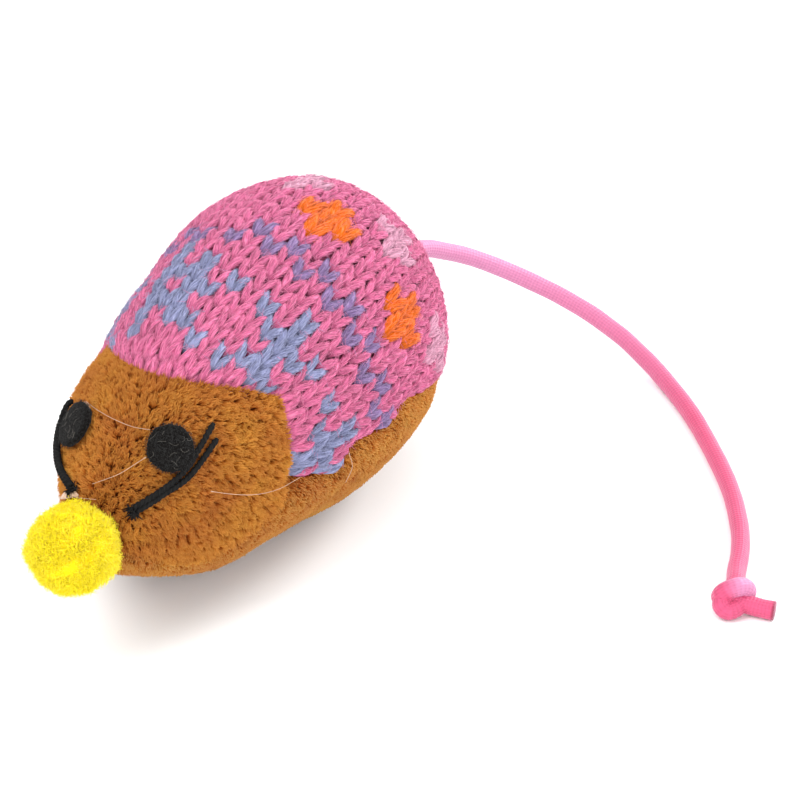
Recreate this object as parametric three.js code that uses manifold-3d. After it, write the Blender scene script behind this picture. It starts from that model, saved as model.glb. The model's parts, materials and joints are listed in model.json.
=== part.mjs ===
// A catnip mouse: a stuffed fabric egg with a knitted back, a plush face and belly, a pompom nose,
// felt eyes, thread whiskers and a satin cord tail that ends in a knot.
// Millimetres, +Z up. The nose points to -Y and the mouse's left side is +X. The belly rests on Z = 0.
import * as THREE from "three";
import { mergeVertices } from "three/addons/utils/BufferGeometryUtils.js";
import Module from "manifold-3d";

const wasm = await Module();
wasm.setup();

// Stuffed body
const BODY_LENGTH = 90;
const BODY_WIDTH = 48;
const BODY_HEIGHT = 50.5;
const SEAM_HEIGHT = 20.2; // height of the seam between belly and back, where the body is widest
const BELLY_FLAT = 0.5; // depth of the flat that the body rests on
const WIDTH_SWELL = { taper: 0.21, fullness: 0.14 }; // taper fills out the tail end, fullness both ends
const BACK_SWELL = { taper: 0.2, fullness: 0.12 };
const BELLY_SWELL = { taper: 0.1, fullness: 0.12 };

// Fabric panels and their seams
const FABRIC_THICKNESS = 1.8;
const WALE_WIDTH = 3.25; // a column of stitches, where the body is widest
const WALE_DEPTH = 0.8; // from a column's ridge down to the groove beside it
const CROWN_IN_WALE = 0.27; // of a column, from the crown to the nearest ridge
const SEAM_WIDTH = 1.2;
const THREAD_DIAMETER = 0.5;
const FACE_SEAM_CROWN = 16.2; // from the front tip back to the seam, on the crown
const FACE_SEAM_SIDE = 28.5; // from the front tip back to the seam, on the sides
const FACE_SEAM_CORNER = 16.7; // sideways from the middle to the seam's corner
const FACE_SEAM_END = 5; // degrees above the belly seam where the face seam's thread ends
const BELLY_SEAM_END = 12; // degrees to each side of the tail where the belly seam's thread ends

// Filling
const CATNIP_LENGTH = 34;
const CATNIP_WIDTH = 22;
const CATNIP_HEIGHT = 20;

// Pompom nose
const NOSE_DIAMETER = 15;
const NOSE_REACH = 5.3; // from the body's tip forward to the middle of the pompom
const NOSE_RISE = 1.5; // above the belly seam
const NOSE_GLUE_DIAMETER = 8;

// Felt eyes
const EYE_DIAMETER = 7.7;
const EYE_THICKNESS = 1.2;
const EYE_STATION = -0.778; // along the body, -1 at the tip and 1 at the tail
const EYE_ANGLE = 53.7; // degrees up from the belly seam
const EYE_GLUE_DIAMETER = 5.4;
const GLUE_THICKNESS = 0.5;

// Thread whiskers, each route as station along the body and degrees up from the belly seam
const WHISKER_DIAMETER = 0.75;
const WHISKER_UPPER_ROUTE = [
  [-0.944, 43.0],
  [-0.897, 40.6],
  [-0.839, 38.6],
  [-0.764, 37.8],
  [-0.697, 41.8],
  [-0.624, 47.4],
];
const WHISKER_LOWER_ROUTE = [
  [-0.944, 35.7],
  [-0.897, 34.8],
  [-0.839, 34.0],
  [-0.764, 34.0],
  [-0.697, 37.0],
  [-0.641, 39.8],
];
const WHISKER_ROOT_STATION = -0.968;
const WHISKER_ROOT_ANGLE = 39;
const WHISKER_ROOT_LENGTH = 2.2;
const WHISKER_ROOT_WIDTH = 2.6;
const WHISKER_ROOT_HEIGHT = 1.7;

// Cord tail, its route as sideways, back from the start of the cord, and up from the table
const TAIL_DIAMETER = 2.8;
const TAIL_ROOT_LENGTH = 3;
const TAIL_ROUTE = [
  [0.1, 3.1, 20],
  [0.5, 6.1, 19.5],
  [1.2, 8.9, 18.7],
  [2.9, 13.0, 16.6],
  [5.1, 16.2, 14.8],
  [7.5, 18.6, 13.1],
  [10.1, 20.5, 11.5],
  [12.9, 22.0, 10],
  [15.9, 23.0, 8.7],
  [19.1, 23.7, 7.5],
  [22.3, 23.8, 6.4],
  [25.7, 23.6, 5.4],
  [29.1, 22.9, 4.4],
  [32.6, 21.8, 3.6],
  [36.1, 20.2, 2.8],
  [39.8, 18.1, 2.2],
  [43.4, 15.5, 1.8],
  [47.2, 12.4, 1.5],
  [51, 8.9, 1.45],
  [54.7, 5.0, 1.45],
  [58.4, 0.8, 1.45],
  [61.8, -3.2, 1.45],
  [65, -7.2, 1.45],
  [68, -11.4, 1.45],
  [70.8, -15.9, 1.45],
  [73.4, -20.6, 1.45],
  [75.6, -25.7, 1.5],
  [77.3, -30.8, 1.7],
  [78.7, -34.4, 2.2],
];
const KNOT_PLACE = [80.3, -38.8];
const KNOT_DIAMETER = 6.6;
const KNOT_TILTS = [
  [0.5, 0.25, 0],
  [-0.6, 0.9, 0.3],
  [1.5, -0.35, 0.2],
];
const TAIL_TIP = [86.8, -37.4];
const ANCHOR_DIAMETER = 6; // the knot inside the body that keeps the tail from pulling out

// Gaps and facets
const GAP = 0.3; // between pieces that touch
const TABLE_GAP = 0.08; // between the cord and the table it lies on
const AROUND = 36;
const ALONG = 24;
const KNIT_ALONG = 20;
const KNIT_BELOW = 12; // columns of the knit's solid below the belly seam, which are cut away
const GIRTH_SAMPLES = 720; // of the way round the body, for the columns of the knit
const STUFFING_AROUND = 24;
const STUFFING_ALONG = 16;
const BALL_AROUND = 20;
const BALL_ALONG = 12;
const ROUND = 32;
const CORD_SIDES = 8;
const THREAD_SIDES = 6;
const THREAD_STEPS = 40;
const WHISKER_STEPS = 12;
const CORD_STEPS = 28;
const CORD_END_STEPS = 6;
const KNOT_AROUND = 16;
const SEAM_SAMPLES = 24; // of the face seam, from the middle to its corner
const SEAM_HALVINGS = 40; // in the search for the face seam on the skin
const PEAK_SAMPLES = 2000; // in the search for the body's widest station
const SMALL_STEP = 0.01; // for slopes, in millimetres or as a share
const MERGE_DISTANCE = 1e-4;

// Places that follow from the sizes
const HALF_LENGTH = BODY_LENGTH / 2;
const HALF_WIDTH = BODY_WIDTH / 2;
const BACK_RISE = BODY_HEIGHT - SEAM_HEIGHT;
const BELLY_DROP = SEAM_HEIGHT + BELLY_FLAT;
const TAIL_RADIUS = TAIL_DIAMETER / 2;
const NOSE_CENTRE = new THREE.Vector3(0, -HALF_LENGTH - NOSE_REACH, SEAM_HEIGHT + NOSE_RISE);
const NOSE_TIP = NOSE_CENTRE.y - NOSE_DIAMETER / 2;
const BODY_SHIFT = -(NOSE_TIP + HALF_LENGTH) / 2; // puts the origin under the middle of the mouse
const FAR = BODY_LENGTH + BODY_WIDTH + BODY_HEIGHT; // well outside the body
const SWING_PIVOT = new THREE.Vector3(0, HALF_LENGTH + GAP + TAIL_RADIUS, SEAM_HEIGHT);
const ROOT_END = SWING_PIVOT.y + TAIL_ROOT_LENGTH;
const LIFT_PIVOT = new THREE.Vector3(0, ROOT_END + GAP + TAIL_RADIUS, SEAM_HEIGHT);
const KNOT_CENTRE = new THREE.Vector3(
  KNOT_PLACE[0],
  LIFT_PIVOT.y + KNOT_PLACE[1],
  KNOT_DIAMETER / 2 + TABLE_GAP,
);

// Solids

function solidOf(geometry) {
  const plain = geometry.clone();
  plain.deleteAttribute("normal");
  plain.deleteAttribute("uv");
  const merged = mergeVertices(plain, MERGE_DISTANCE);
  return new wasm.Manifold(
    new wasm.Mesh({
      numProp: 3,
      vertProperties: new Float32Array(merged.attributes.position.array),
      triVerts: new Uint32Array(merged.index.array),
    }),
  );
}

function geometryOf(solid) {
  const mesh = solid.getMesh();
  const geometry = new THREE.BufferGeometry();
  geometry.setAttribute("position", new THREE.BufferAttribute(mesh.vertProperties, 3));
  geometry.setIndex(new THREE.BufferAttribute(mesh.triVerts, 1));
  geometry.computeVertexNormals();
  return geometry;
}

function material(color, roughness) {
  return new THREE.MeshStandardMaterial({ color, roughness, metalness: 0 });
}

function piece(name, solid, finish) {
  const mesh = new THREE.Mesh(geometryOf(solid), finish);
  mesh.name = name;
  return mesh;
}

// The swell of the body at a station, with its peak brought to 1

function rawSwell(station, shape) {
  const round = Math.sqrt(Math.max(0, 1 - station ** 2));
  return round * (1 + shape.taper * station + shape.fullness * station ** 2);
}

function peakOf(shape) {
  let peak = 0;
  for (let i = 0; i <= PEAK_SAMPLES; i++) {
    peak = Math.max(peak, rawSwell((2 * i) / PEAK_SAMPLES - 1, shape));
  }
  return peak;
}

const WIDTH_PEAK = peakOf(WIDTH_SWELL);
const BACK_PEAK = peakOf(BACK_SWELL);
const BELLY_PEAK = peakOf(BELLY_SWELL);

// A point of the body's skin, moved out by grow, at a station and an angle up from the left seam
function bodyPoint(station, angle, grow = 0) {
  const up = Math.sin(angle);
  const width = ((HALF_WIDTH + grow) * rawSwell(station, WIDTH_SWELL)) / WIDTH_PEAK;
  const back = ((BACK_RISE + grow) * rawSwell(station, BACK_SWELL)) / BACK_PEAK;
  const belly = ((BELLY_DROP + grow) * rawSwell(station, BELLY_SWELL)) / BELLY_PEAK;
  return new THREE.Vector3(
    width * Math.cos(angle),
    station * (HALF_LENGTH + grow),
    SEAM_HEIGHT + up * (up > 0 ? back : belly),
  );
}

// The direction square to the skin, pointing out
function bodyNormal(station, angle) {
  const ahead = bodyPoint(station - SMALL_STEP, angle);
  const behind = bodyPoint(station + SMALL_STEP, angle);
  const below = bodyPoint(station, angle - SMALL_STEP);
  const above = bodyPoint(station, angle + SMALL_STEP);
  return behind.sub(ahead).cross(above.sub(below)).normalize();
}

// A solid with the body's rings, whose skin is placed by a function of station, angle and column
function bodyOf(around, along, placed) {
  const geometry = new THREE.SphereGeometry(1, around, along);
  const places = geometry.attributes.position;
  for (let i = 0; i < places.count; i++) {
    const station = THREE.MathUtils.clamp(places.getY(i), -1, 1);
    const angle = Math.atan2(places.getZ(i), places.getX(i));
    const column = (i % (around + 1)) % around;
    const point = placed(station, angle, column);
    places.setXYZ(i, point.x, point.y, point.z);
  }
  return solidOf(geometry);
}

// The whole body as one solid, moved out by grow
function body(grow, around = AROUND, along = ALONG) {
  return bodyOf(around, along, (station, angle) => bodyPoint(station, angle, grow));
}

function box(low, high) {
  const size = new THREE.Vector3().subVectors(high, low);
  const middle = new THREE.Vector3().addVectors(low, high).divideScalar(2);
  const geometry = new THREE.BoxGeometry(size.x, size.y, size.z);
  return solidOf(geometry.translate(middle.x, middle.y, middle.z));
}

function ball(centre, diameter, around = BALL_AROUND, along = BALL_ALONG) {
  const geometry = new THREE.SphereGeometry(diameter / 2, around, along);
  return solidOf(geometry.translate(centre.x, centre.y, centre.z));
}

// The turn that brings a geometry's own +Y to a direction
function turnedTo(direction) {
  return new THREE.Quaternion().setFromUnitVectors(new THREE.Vector3(0, 1, 0), direction);
}

// A round rod from start to end
function rod(start, end, diameter, sides = ROUND) {
  const run = new THREE.Vector3().subVectors(end, start);
  const length = run.length();
  const geometry = new THREE.CylinderGeometry(diameter / 2, diameter / 2, length, sides);
  geometry.translate(0, length / 2, 0);
  geometry.applyQuaternion(turnedTo(run.normalize()));
  return solidOf(geometry.translate(start.x, start.y, start.z));
}

function polygon(diameter, sides) {
  const corners = [];
  for (let i = 0; i < sides; i++) {
    const turn = (2 * Math.PI * i) / sides;
    corners.push(new THREE.Vector2(Math.cos(turn), Math.sin(turn)).multiplyScalar(diameter / 2));
  }
  return new THREE.Shape(corners);
}

function tube(points, diameter, sides, steps) {
  const route = new THREE.CatmullRomCurve3(points, false, "centripetal");
  const options = { steps, extrudePath: route, bevelEnabled: false };
  return solidOf(new THREE.ExtrudeGeometry(polygon(diameter, sides), options));
}

// Fabric panels

// How far back the face seam lies at a distance from the middle, seen from above
function faceSeamAt(sideways) {
  const share = Math.min(1, (sideways / FACE_SEAM_CORNER) ** 2);
  return -HALF_LENGTH + FACE_SEAM_CROWN + (FACE_SEAM_SIDE - FACE_SEAM_CROWN) * share;
}

// The face seam seen from above, moved back by offset square to itself
function faceSeamLine(offset) {
  const reach = BODY_WIDTH;
  const count = Math.ceil(reach / FACE_SEAM_CORNER) * SEAM_SAMPLES;
  const line = [];
  for (let i = -count; i <= count; i++) {
    const x = (FACE_SEAM_CORNER * i) / SEAM_SAMPLES;
    const rise = faceSeamAt(x + SMALL_STEP) - faceSeamAt(x - SMALL_STEP);
    const square = new THREE.Vector2(-rise, 2 * SMALL_STEP).setLength(offset);
    line.push(new THREE.Vector2(x, faceSeamAt(x)).add(square));
  }
  return line;
}

// Everything above the belly seam, in front of the face seam or behind it
function sideOfFaceSeam(direction) {
  const line = faceSeamLine((direction * SEAM_WIDTH) / 2);
  const shape = new THREE.Shape(line);
  shape.lineTo(line[line.length - 1].x, direction * FAR);
  shape.lineTo(line[0].x, direction * FAR);
  const geometry = new THREE.ExtrudeGeometry(shape, { depth: FAR, bevelEnabled: false });
  return solidOf(geometry.translate(0, 0, SEAM_HEIGHT + SEAM_WIDTH / 2));
}

// A point on the straight line through the tail's seam, from the middle of the body back
function onTailLine(y) {
  return new THREE.Vector3(0, y, SEAM_HEIGHT);
}

// The angles of the ridges and grooves of the knit, from the right seam over the crown to the left one
function waleColumns() {
  const angles = [];
  const runs = [0];
  for (let i = 0; i <= GIRTH_SAMPLES; i++) {
    angles.push((Math.PI * i) / GIRTH_SAMPLES);
    if (i > 0) {
      const step = bodyPoint(0, angles[i]).distanceTo(bodyPoint(0, angles[i - 1]));
      runs.push(runs[i - 1] + step);
    }
  }
  const whole = runs[GIRTH_SAMPLES];
  const half = WALE_WIDTH / 2;
  const columns = [{ angle: 0, groove: 1 }];
  const firstRidge = (whole / 2 - CROWN_IN_WALE * WALE_WIDTH) % WALE_WIDTH;
  for (let run = firstRidge, groove = 0; run < whole - half / 2; run += half, groove = 1 - groove) {
    const after = runs.findIndex((distance) => distance > run);
    columns.push({ angle: angles[after], groove });
  }
  columns.push({ angle: Math.PI, groove: 1 });
  return columns.reverse();
}

// The body with the knit's columns as ribs, which run out towards the tail
function ribbedBody() {
  const columns = waleColumns();
  const below = Array.from({ length: KNIT_BELOW - 1 }, (_, i) => {
    return { angle: (-Math.PI * (i + 1)) / KNIT_BELOW, groove: 1 };
  });
  const all = [...columns, ...below];
  return bodyOf(all.length, KNIT_ALONG, (station, _, column) => {
    const { angle, groove } = all[column];
    const depth = (groove * WALE_DEPTH * rawSwell(station, WIDTH_SWELL)) / WIDTH_PEAK;
    return bodyPoint(station, angle, -depth);
  });
}

const skin = body(0).subtract(body(-FABRIC_THICKNESS));
const anchorStart = onTailLine(HALF_LENGTH - FABRIC_THICKNESS - 2 * GAP - ANCHOR_DIAMETER / 2);
const anchorEnd = onTailLine(HALF_LENGTH);
const tailHole = rod(anchorStart, onTailLine(FAR), TAIL_DIAMETER + 2 * GAP);

function facePanel() {
  return skin.intersect(sideOfFaceSeam(-1)).subtract(tailHole);
}

function knitBack() {
  const ribbed = ribbedBody().subtract(body(-FABRIC_THICKNESS));
  return ribbed.intersect(sideOfFaceSeam(1)).subtract(tailHole);
}

function bellyPanel() {
  const low = new THREE.Vector3(-FAR, -FAR, 0);
  const high = new THREE.Vector3(FAR, FAR, SEAM_HEIGHT - SEAM_WIDTH / 2);
  return skin.intersect(box(low, high)).subtract(tailHole);
}

// Seam threads, halfway through the fabric

function faceSeamPoint(angle) {
  const grow = -FABRIC_THICKNESS / 2;
  let front = -1;
  let back = 1;
  for (let i = 0; i < SEAM_HALVINGS; i++) {
    const middle = (front + back) / 2;
    const point = bodyPoint(middle, angle, grow);
    if (point.y < faceSeamAt(point.x)) front = middle;
    else back = middle;
  }
  return bodyPoint(front, angle, grow);
}

function faceSeamThread() {
  const end = THREE.MathUtils.degToRad(FACE_SEAM_END);
  const points = [];
  for (let i = 0; i <= THREAD_STEPS; i++) {
    points.push(faceSeamPoint(end + ((Math.PI - 2 * end) * i) / THREAD_STEPS));
  }
  return tube(points, THREAD_DIAMETER, THREAD_SIDES, THREAD_STEPS);
}

function bellySeamThread() {
  const end = THREE.MathUtils.degToRad(BELLY_SEAM_END);
  const points = [];
  for (let i = 0; i <= THREAD_STEPS; i++) {
    const turn = end + ((2 * Math.PI - 2 * end) * i) / THREAD_STEPS;
    const angle = turn < Math.PI ? 0 : Math.PI;
    points.push(bodyPoint(Math.cos(turn), angle, -FABRIC_THICKNESS / 2));
  }
  return tube(points, THREAD_DIAMETER, THREAD_SIDES, THREAD_STEPS);
}

// Filling, open towards the tail, where it was put in

function catnipLump(grow) {
  const geometry = new THREE.SphereGeometry(1, BALL_AROUND, BALL_ALONG);
  geometry.scale(CATNIP_WIDTH / 2 + grow, CATNIP_LENGTH / 2 + grow, CATNIP_HEIGHT / 2 + grow);
  return solidOf(geometry.translate(0, 0, SEAM_HEIGHT));
}

function stuffing() {
  const channel = rod(onTailLine(0), onTailLine(FAR), ANCHOR_DIAMETER + 2 * GAP);
  return body(-FABRIC_THICKNESS - GAP, STUFFING_AROUND, STUFFING_ALONG)
    .subtract(catnipLump(GAP))
    .subtract(channel);
}

// Nose and eyes, seated on the skin by a pad of glue

// The body angle of what lies this many degrees above the belly seam, on the left or the right
function sideAngle(side, degrees) {
  const angle = THREE.MathUtils.degToRad(degrees);
  return side > 0 ? angle : Math.PI - angle;
}

function glued(shape) {
  return shape.subtract(body(GLUE_THICKNESS + 2 * GAP));
}

function gluePad(shape) {
  return shape.intersect(body(GLUE_THICKNESS + GAP)).subtract(body(GAP));
}

function nose() {
  return glued(ball(NOSE_CENTRE, NOSE_DIAMETER));
}

function noseGlue() {
  const tip = new THREE.Vector3(0, -HALF_LENGTH + NOSE_GLUE_DIAMETER / 2, NOSE_CENTRE.z);
  return gluePad(rod(NOSE_CENTRE, tip, NOSE_GLUE_DIAMETER, BALL_AROUND));
}

function eyeRod(side, diameter) {
  const angle = sideAngle(side, EYE_ANGLE);
  const middle = bodyPoint(EYE_STATION, angle);
  const out = bodyNormal(EYE_STATION, angle).multiplyScalar(EYE_DIAMETER / 2);
  return rod(middle.clone().sub(out), middle.clone().add(out), diameter, BALL_AROUND);
}

function eye(side) {
  const front = body(GLUE_THICKNESS + 2 * GAP + EYE_THICKNESS);
  return glued(eyeRod(side, EYE_DIAMETER)).intersect(front);
}

function eyeGlue(side) {
  return gluePad(eyeRod(side, EYE_GLUE_DIAMETER));
}

// Whiskers

function whisker(side, route) {
  const grow = GAP + WHISKER_DIAMETER / 2;
  const points = route.map(([station, degrees]) => {
    return bodyPoint(station, sideAngle(side, degrees), grow);
  });
  return tube(points, WHISKER_DIAMETER, CORD_SIDES, WHISKER_STEPS);
}

function whiskerRoot(side) {
  const angle = sideAngle(side, WHISKER_ROOT_ANGLE);
  const middle = bodyPoint(WHISKER_ROOT_STATION, angle, GAP);
  const out = bodyNormal(WHISKER_ROOT_STATION, angle);
  const geometry = new THREE.SphereGeometry(1, CORD_SIDES * 2, CORD_SIDES);
  geometry.scale(WHISKER_ROOT_WIDTH / 2, WHISKER_ROOT_HEIGHT / 2, WHISKER_ROOT_LENGTH / 2);
  geometry.applyQuaternion(turnedTo(out));
  return solidOf(geometry.translate(middle.x, middle.y, middle.z))
    .subtract(body(GAP))
    .subtract(ball(NOSE_CENTRE, NOSE_DIAMETER + 2 * GAP));
}

// Tail

function tailAnchor() {
  const stub = rod(anchorStart, anchorEnd, TAIL_DIAMETER, CORD_SIDES * 2);
  return ball(anchorStart, ANCHOR_DIAMETER).add(stub);
}

function tailRoot() {
  const stub = rod(SWING_PIVOT, onTailLine(ROOT_END), TAIL_DIAMETER, CORD_SIDES * 2);
  return ball(SWING_PIVOT, TAIL_DIAMETER, CORD_SIDES * 2, CORD_SIDES).add(stub);
}

const knotSpace = ball(KNOT_CENTRE, KNOT_DIAMETER + 2 * GAP);

function tailCord() {
  const route = TAIL_ROUTE.map(([x, y, z]) => new THREE.Vector3(x, LIFT_PIVOT.y + y, z));
  const cord = tube([LIFT_PIVOT, ...route, KNOT_CENTRE], TAIL_DIAMETER, CORD_SIDES, CORD_STEPS);
  return cord.add(ball(LIFT_PIVOT, TAIL_DIAMETER, CORD_SIDES, CORD_SIDES)).subtract(knotSpace);
}

function tailKnot() {
  const ring = (KNOT_DIAMETER - TAIL_DIAMETER) / 2;
  let knot = ball(KNOT_CENTRE, KNOT_DIAMETER - TAIL_RADIUS);
  for (const tilt of KNOT_TILTS) {
    const turn = new THREE.TorusGeometry(ring, TAIL_RADIUS, CORD_SIDES, KNOT_AROUND);
    turn.applyMatrix4(new THREE.Matrix4().makeRotationFromEuler(new THREE.Euler(...tilt)));
    knot = knot.add(solidOf(turn.translate(KNOT_CENTRE.x, KNOT_CENTRE.y, KNOT_CENTRE.z)));
  }
  return knot;
}

function tailEnd() {
  const tip = new THREE.Vector3(
    TAIL_TIP[0],
    LIFT_PIVOT.y + TAIL_TIP[1],
    TAIL_RADIUS + TABLE_GAP,
  );
  const middle = new THREE.Vector3().addVectors(KNOT_CENTRE, tip).divideScalar(2);
  middle.z = (KNOT_CENTRE.z + 2 * tip.z) / 3;
  const points = [KNOT_CENTRE, middle, tip];
  return tube(points, TAIL_DIAMETER, CORD_SIDES, CORD_END_STEPS).subtract(knotSpace);
}

// The whole mouse

const KNIT = material(0xf0709a, 0.95);
const PLUSH = material(0xb3752b, 0.95);
const BELLY_PLUSH = material(0xc08036, 0.9);
const FIBRE = material(0xefece4, 1);
const CATNIP = material(0x7c8a4a, 1);
const THREAD = material(0x9a5a24, 0.8);
const POMPOM = material(0xf6e813, 1);
const FELT = material(0x1a1a1c, 1);
const GLUE = material(0xf2e7d2, 0.35);
const WHISKER = material(0x141416, 0.85);
const SATIN = material(0xff7a9e, 0.4);

const mouse = new THREE.Group();
mouse.position.y = BODY_SHIFT;

mouse.add(
  piece("knit_back", knitBack(), KNIT),
  piece("face_panel", facePanel(), PLUSH),
  piece("belly_panel", bellyPanel(), BELLY_PLUSH),
  piece("face_seam_thread", faceSeamThread(), THREAD),
  piece("belly_seam_thread", bellySeamThread(), THREAD),
  piece("stuffing", stuffing(), FIBRE),
  piece("catnip_filling", catnipLump(0), CATNIP),
  piece("nose_pompom", nose(), POMPOM),
  piece("nose_glue", noseGlue(), GLUE),
);

for (const [name, side] of [
  ["left", 1],
  ["right", -1],
]) {
  mouse.add(
    piece("eye_" + name, eye(side), FELT),
    piece("eye_glue_" + name, eyeGlue(side), GLUE),
    piece("whisker_root_" + name, whiskerRoot(side), WHISKER),
    piece("whisker_upper_" + name, whisker(side, WHISKER_UPPER_ROUTE), WHISKER),
    piece("whisker_lower_" + name, whisker(side, WHISKER_LOWER_ROUTE), WHISKER),
  );
}

mouse.add(
  piece("tail_anchor", tailAnchor(), SATIN),
  piece("tail_root", tailRoot(), SATIN),
  piece("tail_cord", tailCord(), SATIN),
  piece("tail_knot", tailKnot(), SATIN),
  piece("tail_end", tailEnd(), SATIN),
);

const model = new THREE.Group();
model.add(mouse);

export default model;
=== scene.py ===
"""A catnip mouse dressed over its solids: a knitted back, a plush face and belly, a pompom nose, felt eyes,
thread whiskers and a satin cord tail with a knot. Metres, +Z up, the nose towards -Y, the left side to +X."""
import json
import math
from collections import namedtuple

import bpy
import bmesh
import numpy as np
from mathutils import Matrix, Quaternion, Vector, kdtree


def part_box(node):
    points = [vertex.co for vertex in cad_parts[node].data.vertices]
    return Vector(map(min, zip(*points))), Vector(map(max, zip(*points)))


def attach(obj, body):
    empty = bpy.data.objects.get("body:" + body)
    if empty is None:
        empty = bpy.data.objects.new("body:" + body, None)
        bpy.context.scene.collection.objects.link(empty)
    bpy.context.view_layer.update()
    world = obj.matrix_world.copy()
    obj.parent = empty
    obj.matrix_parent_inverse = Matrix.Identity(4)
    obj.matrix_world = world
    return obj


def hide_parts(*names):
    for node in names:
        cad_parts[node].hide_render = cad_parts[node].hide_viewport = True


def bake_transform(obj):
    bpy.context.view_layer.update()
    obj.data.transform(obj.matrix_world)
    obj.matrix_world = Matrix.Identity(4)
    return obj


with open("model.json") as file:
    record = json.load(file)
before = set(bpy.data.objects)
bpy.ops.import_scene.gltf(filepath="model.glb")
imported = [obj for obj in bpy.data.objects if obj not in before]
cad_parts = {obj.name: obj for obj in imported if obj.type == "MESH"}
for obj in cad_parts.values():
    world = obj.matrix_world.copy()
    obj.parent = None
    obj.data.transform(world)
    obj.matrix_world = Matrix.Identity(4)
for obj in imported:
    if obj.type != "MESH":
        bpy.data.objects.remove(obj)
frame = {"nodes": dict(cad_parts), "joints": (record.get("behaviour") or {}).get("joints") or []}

bl_info = {
    "name": "Catnip Mouse",
    "version": (1, 0, 0),
    "blender": (4, 5, 0),
    "location": "3D View > Sidebar > Mouse",
    "description": "Builds a stuffed mouse with a knitted back, plush face, pompom nose and cord tail",
    "category": "Object",
}

MM = 0.001
TAU = 2 * math.pi
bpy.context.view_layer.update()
JOINTS = {joint["name"]: Vector(joint["pos_m"]) for joint in frame["joints"]}

# Meshes: their limits, the middle tint, and the part of its own map cell that a strand's sides and ends take
MOST_TRIANGLES = 190000
FLOOR_GAP = 0.02 * MM
WELD = 0.01 * MM
MIDDLE_TINT = 0.5
STRAND_SPACING = 90
MAP_SIDES = np.array((0.84, 0.68))
MAP_CORNER = np.array((0.08, 0.16))
MAP_END_RADIUS = 0.05
MAP_FIRST_END = np.array((0.5, 0.07))
MAP_LAST_END = np.array((0.5, 0.93))

# Seeds of what varies at random
SEEDS = {"knit": 11, "face": 21, "belly": 31, "pompom": 41, "eyes": 51, "whiskers": 61, "roots": 71,
         "fibre": 81, "leaves": 91}

# Stuffed body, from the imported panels
BELLY_LOW, BELLY_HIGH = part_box("belly_panel")
BACK_LOW, BACK_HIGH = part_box("knit_back")
HALF_LENGTH = (BELLY_HIGH.y - BELLY_LOW.y) / 2
HALF_WIDTH = (BELLY_HIGH.x - BELLY_LOW.x) / 2
MIDDLE = (BELLY_HIGH.y + BELLY_LOW.y) / 2
FRONT = MIDDLE - HALF_LENGTH
SEAM_HEIGHT = (BELLY_HIGH.z + BACK_LOW.z) / 2
BELLY_FLAT = 0.5 * MM
BACK_RISE = BACK_HIGH.z - SEAM_HEIGHT
BELLY_DROP = SEAM_HEIGHT + BELLY_FLAT
WIDTH_SWELL = (0.21, 0.14)
BACK_SWELL = (0.2, 0.12)
BELLY_SWELL = (0.1, 0.12)

# Face seam, its pucker and the dimple at its lower corners
FACE_SEAM_CROWN = 16.9 * MM
FACE_SEAM_SIDE = 29.0 * MM
FACE_SEAM_CORNER = 16.7 * MM
FACE_SEAM_RETURN = 0.55
PUCKER_DEPTH = 0.7 * MM
PUCKER_WIDTH = 1.5 * MM
PUCKER_FADE = 5 * MM
SOFT_SEAM = 0.1
DIMPLE = Vector((20.2 * MM, FRONT + 26.9 * MM, SEAM_HEIGHT + 2.2 * MM))
DIMPLE_DEPTH = 1.9 * MM
DIMPLE_WIDTH = 1.9 * MM

# Belly seam, as stations and heights in millimetres above its level
BELLY_SEAM_WAVE = [
    (-1.0, 0), (-0.95, -1.8), (-0.89, -4.0), (-0.79, -6.0), (-0.69, -6.0), (-0.59, -4.3), (-0.51, -3.0),
    (-0.445, -1.2), (-0.41, 1.8), (-0.35, 0.9), (-0.28, 0), (-0.2, -1.6), (-0.15, -1.8), (-0.12, -0.2),
    (-0.08, 1.0), (-0.04, 1.2), (0.03, 0.4), (0.1, -0.2), (0.17, -0.5), (0.2, 0.3), (0.27, 1.5), (0.34, 0.2),
    (0.39, -0.5), (0.48, -1.9), (0.6, -3.8), (0.8, -2.5), (1.0, 0),
]
BELLY_SEAM_STEEPEST = 0.5

# Lumps in the filling: their height, then the waves of broad and small ones, along and round, with shifts
LUMP_HEIGHT = 0.3 * MM
BROAD_LUMPS = (3.1, 1.0, 2.3)
SMALL_LUMPS = (5.7, -0.6, 3.9, 0.8)

# Hollows in the filling: station, degrees up from the left seam, reach along, reach round in degrees, depth
HOLLOWS = [
    (-0.38, 151, 0.20, 28, 1.5 * MM),
    (0.0, 141, 0.22, 26, 1.3 * MM),
    (-0.80, 180, 0.16, 22, 2.1 * MM),
    (-0.40, -47, 0.16, 24, 1.3 * MM),
    (-0.17, -44, 0.14, 24, 1.2 * MM),
    (-0.78, -72, 0.20, 32, 1.2 * MM),
]

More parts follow.
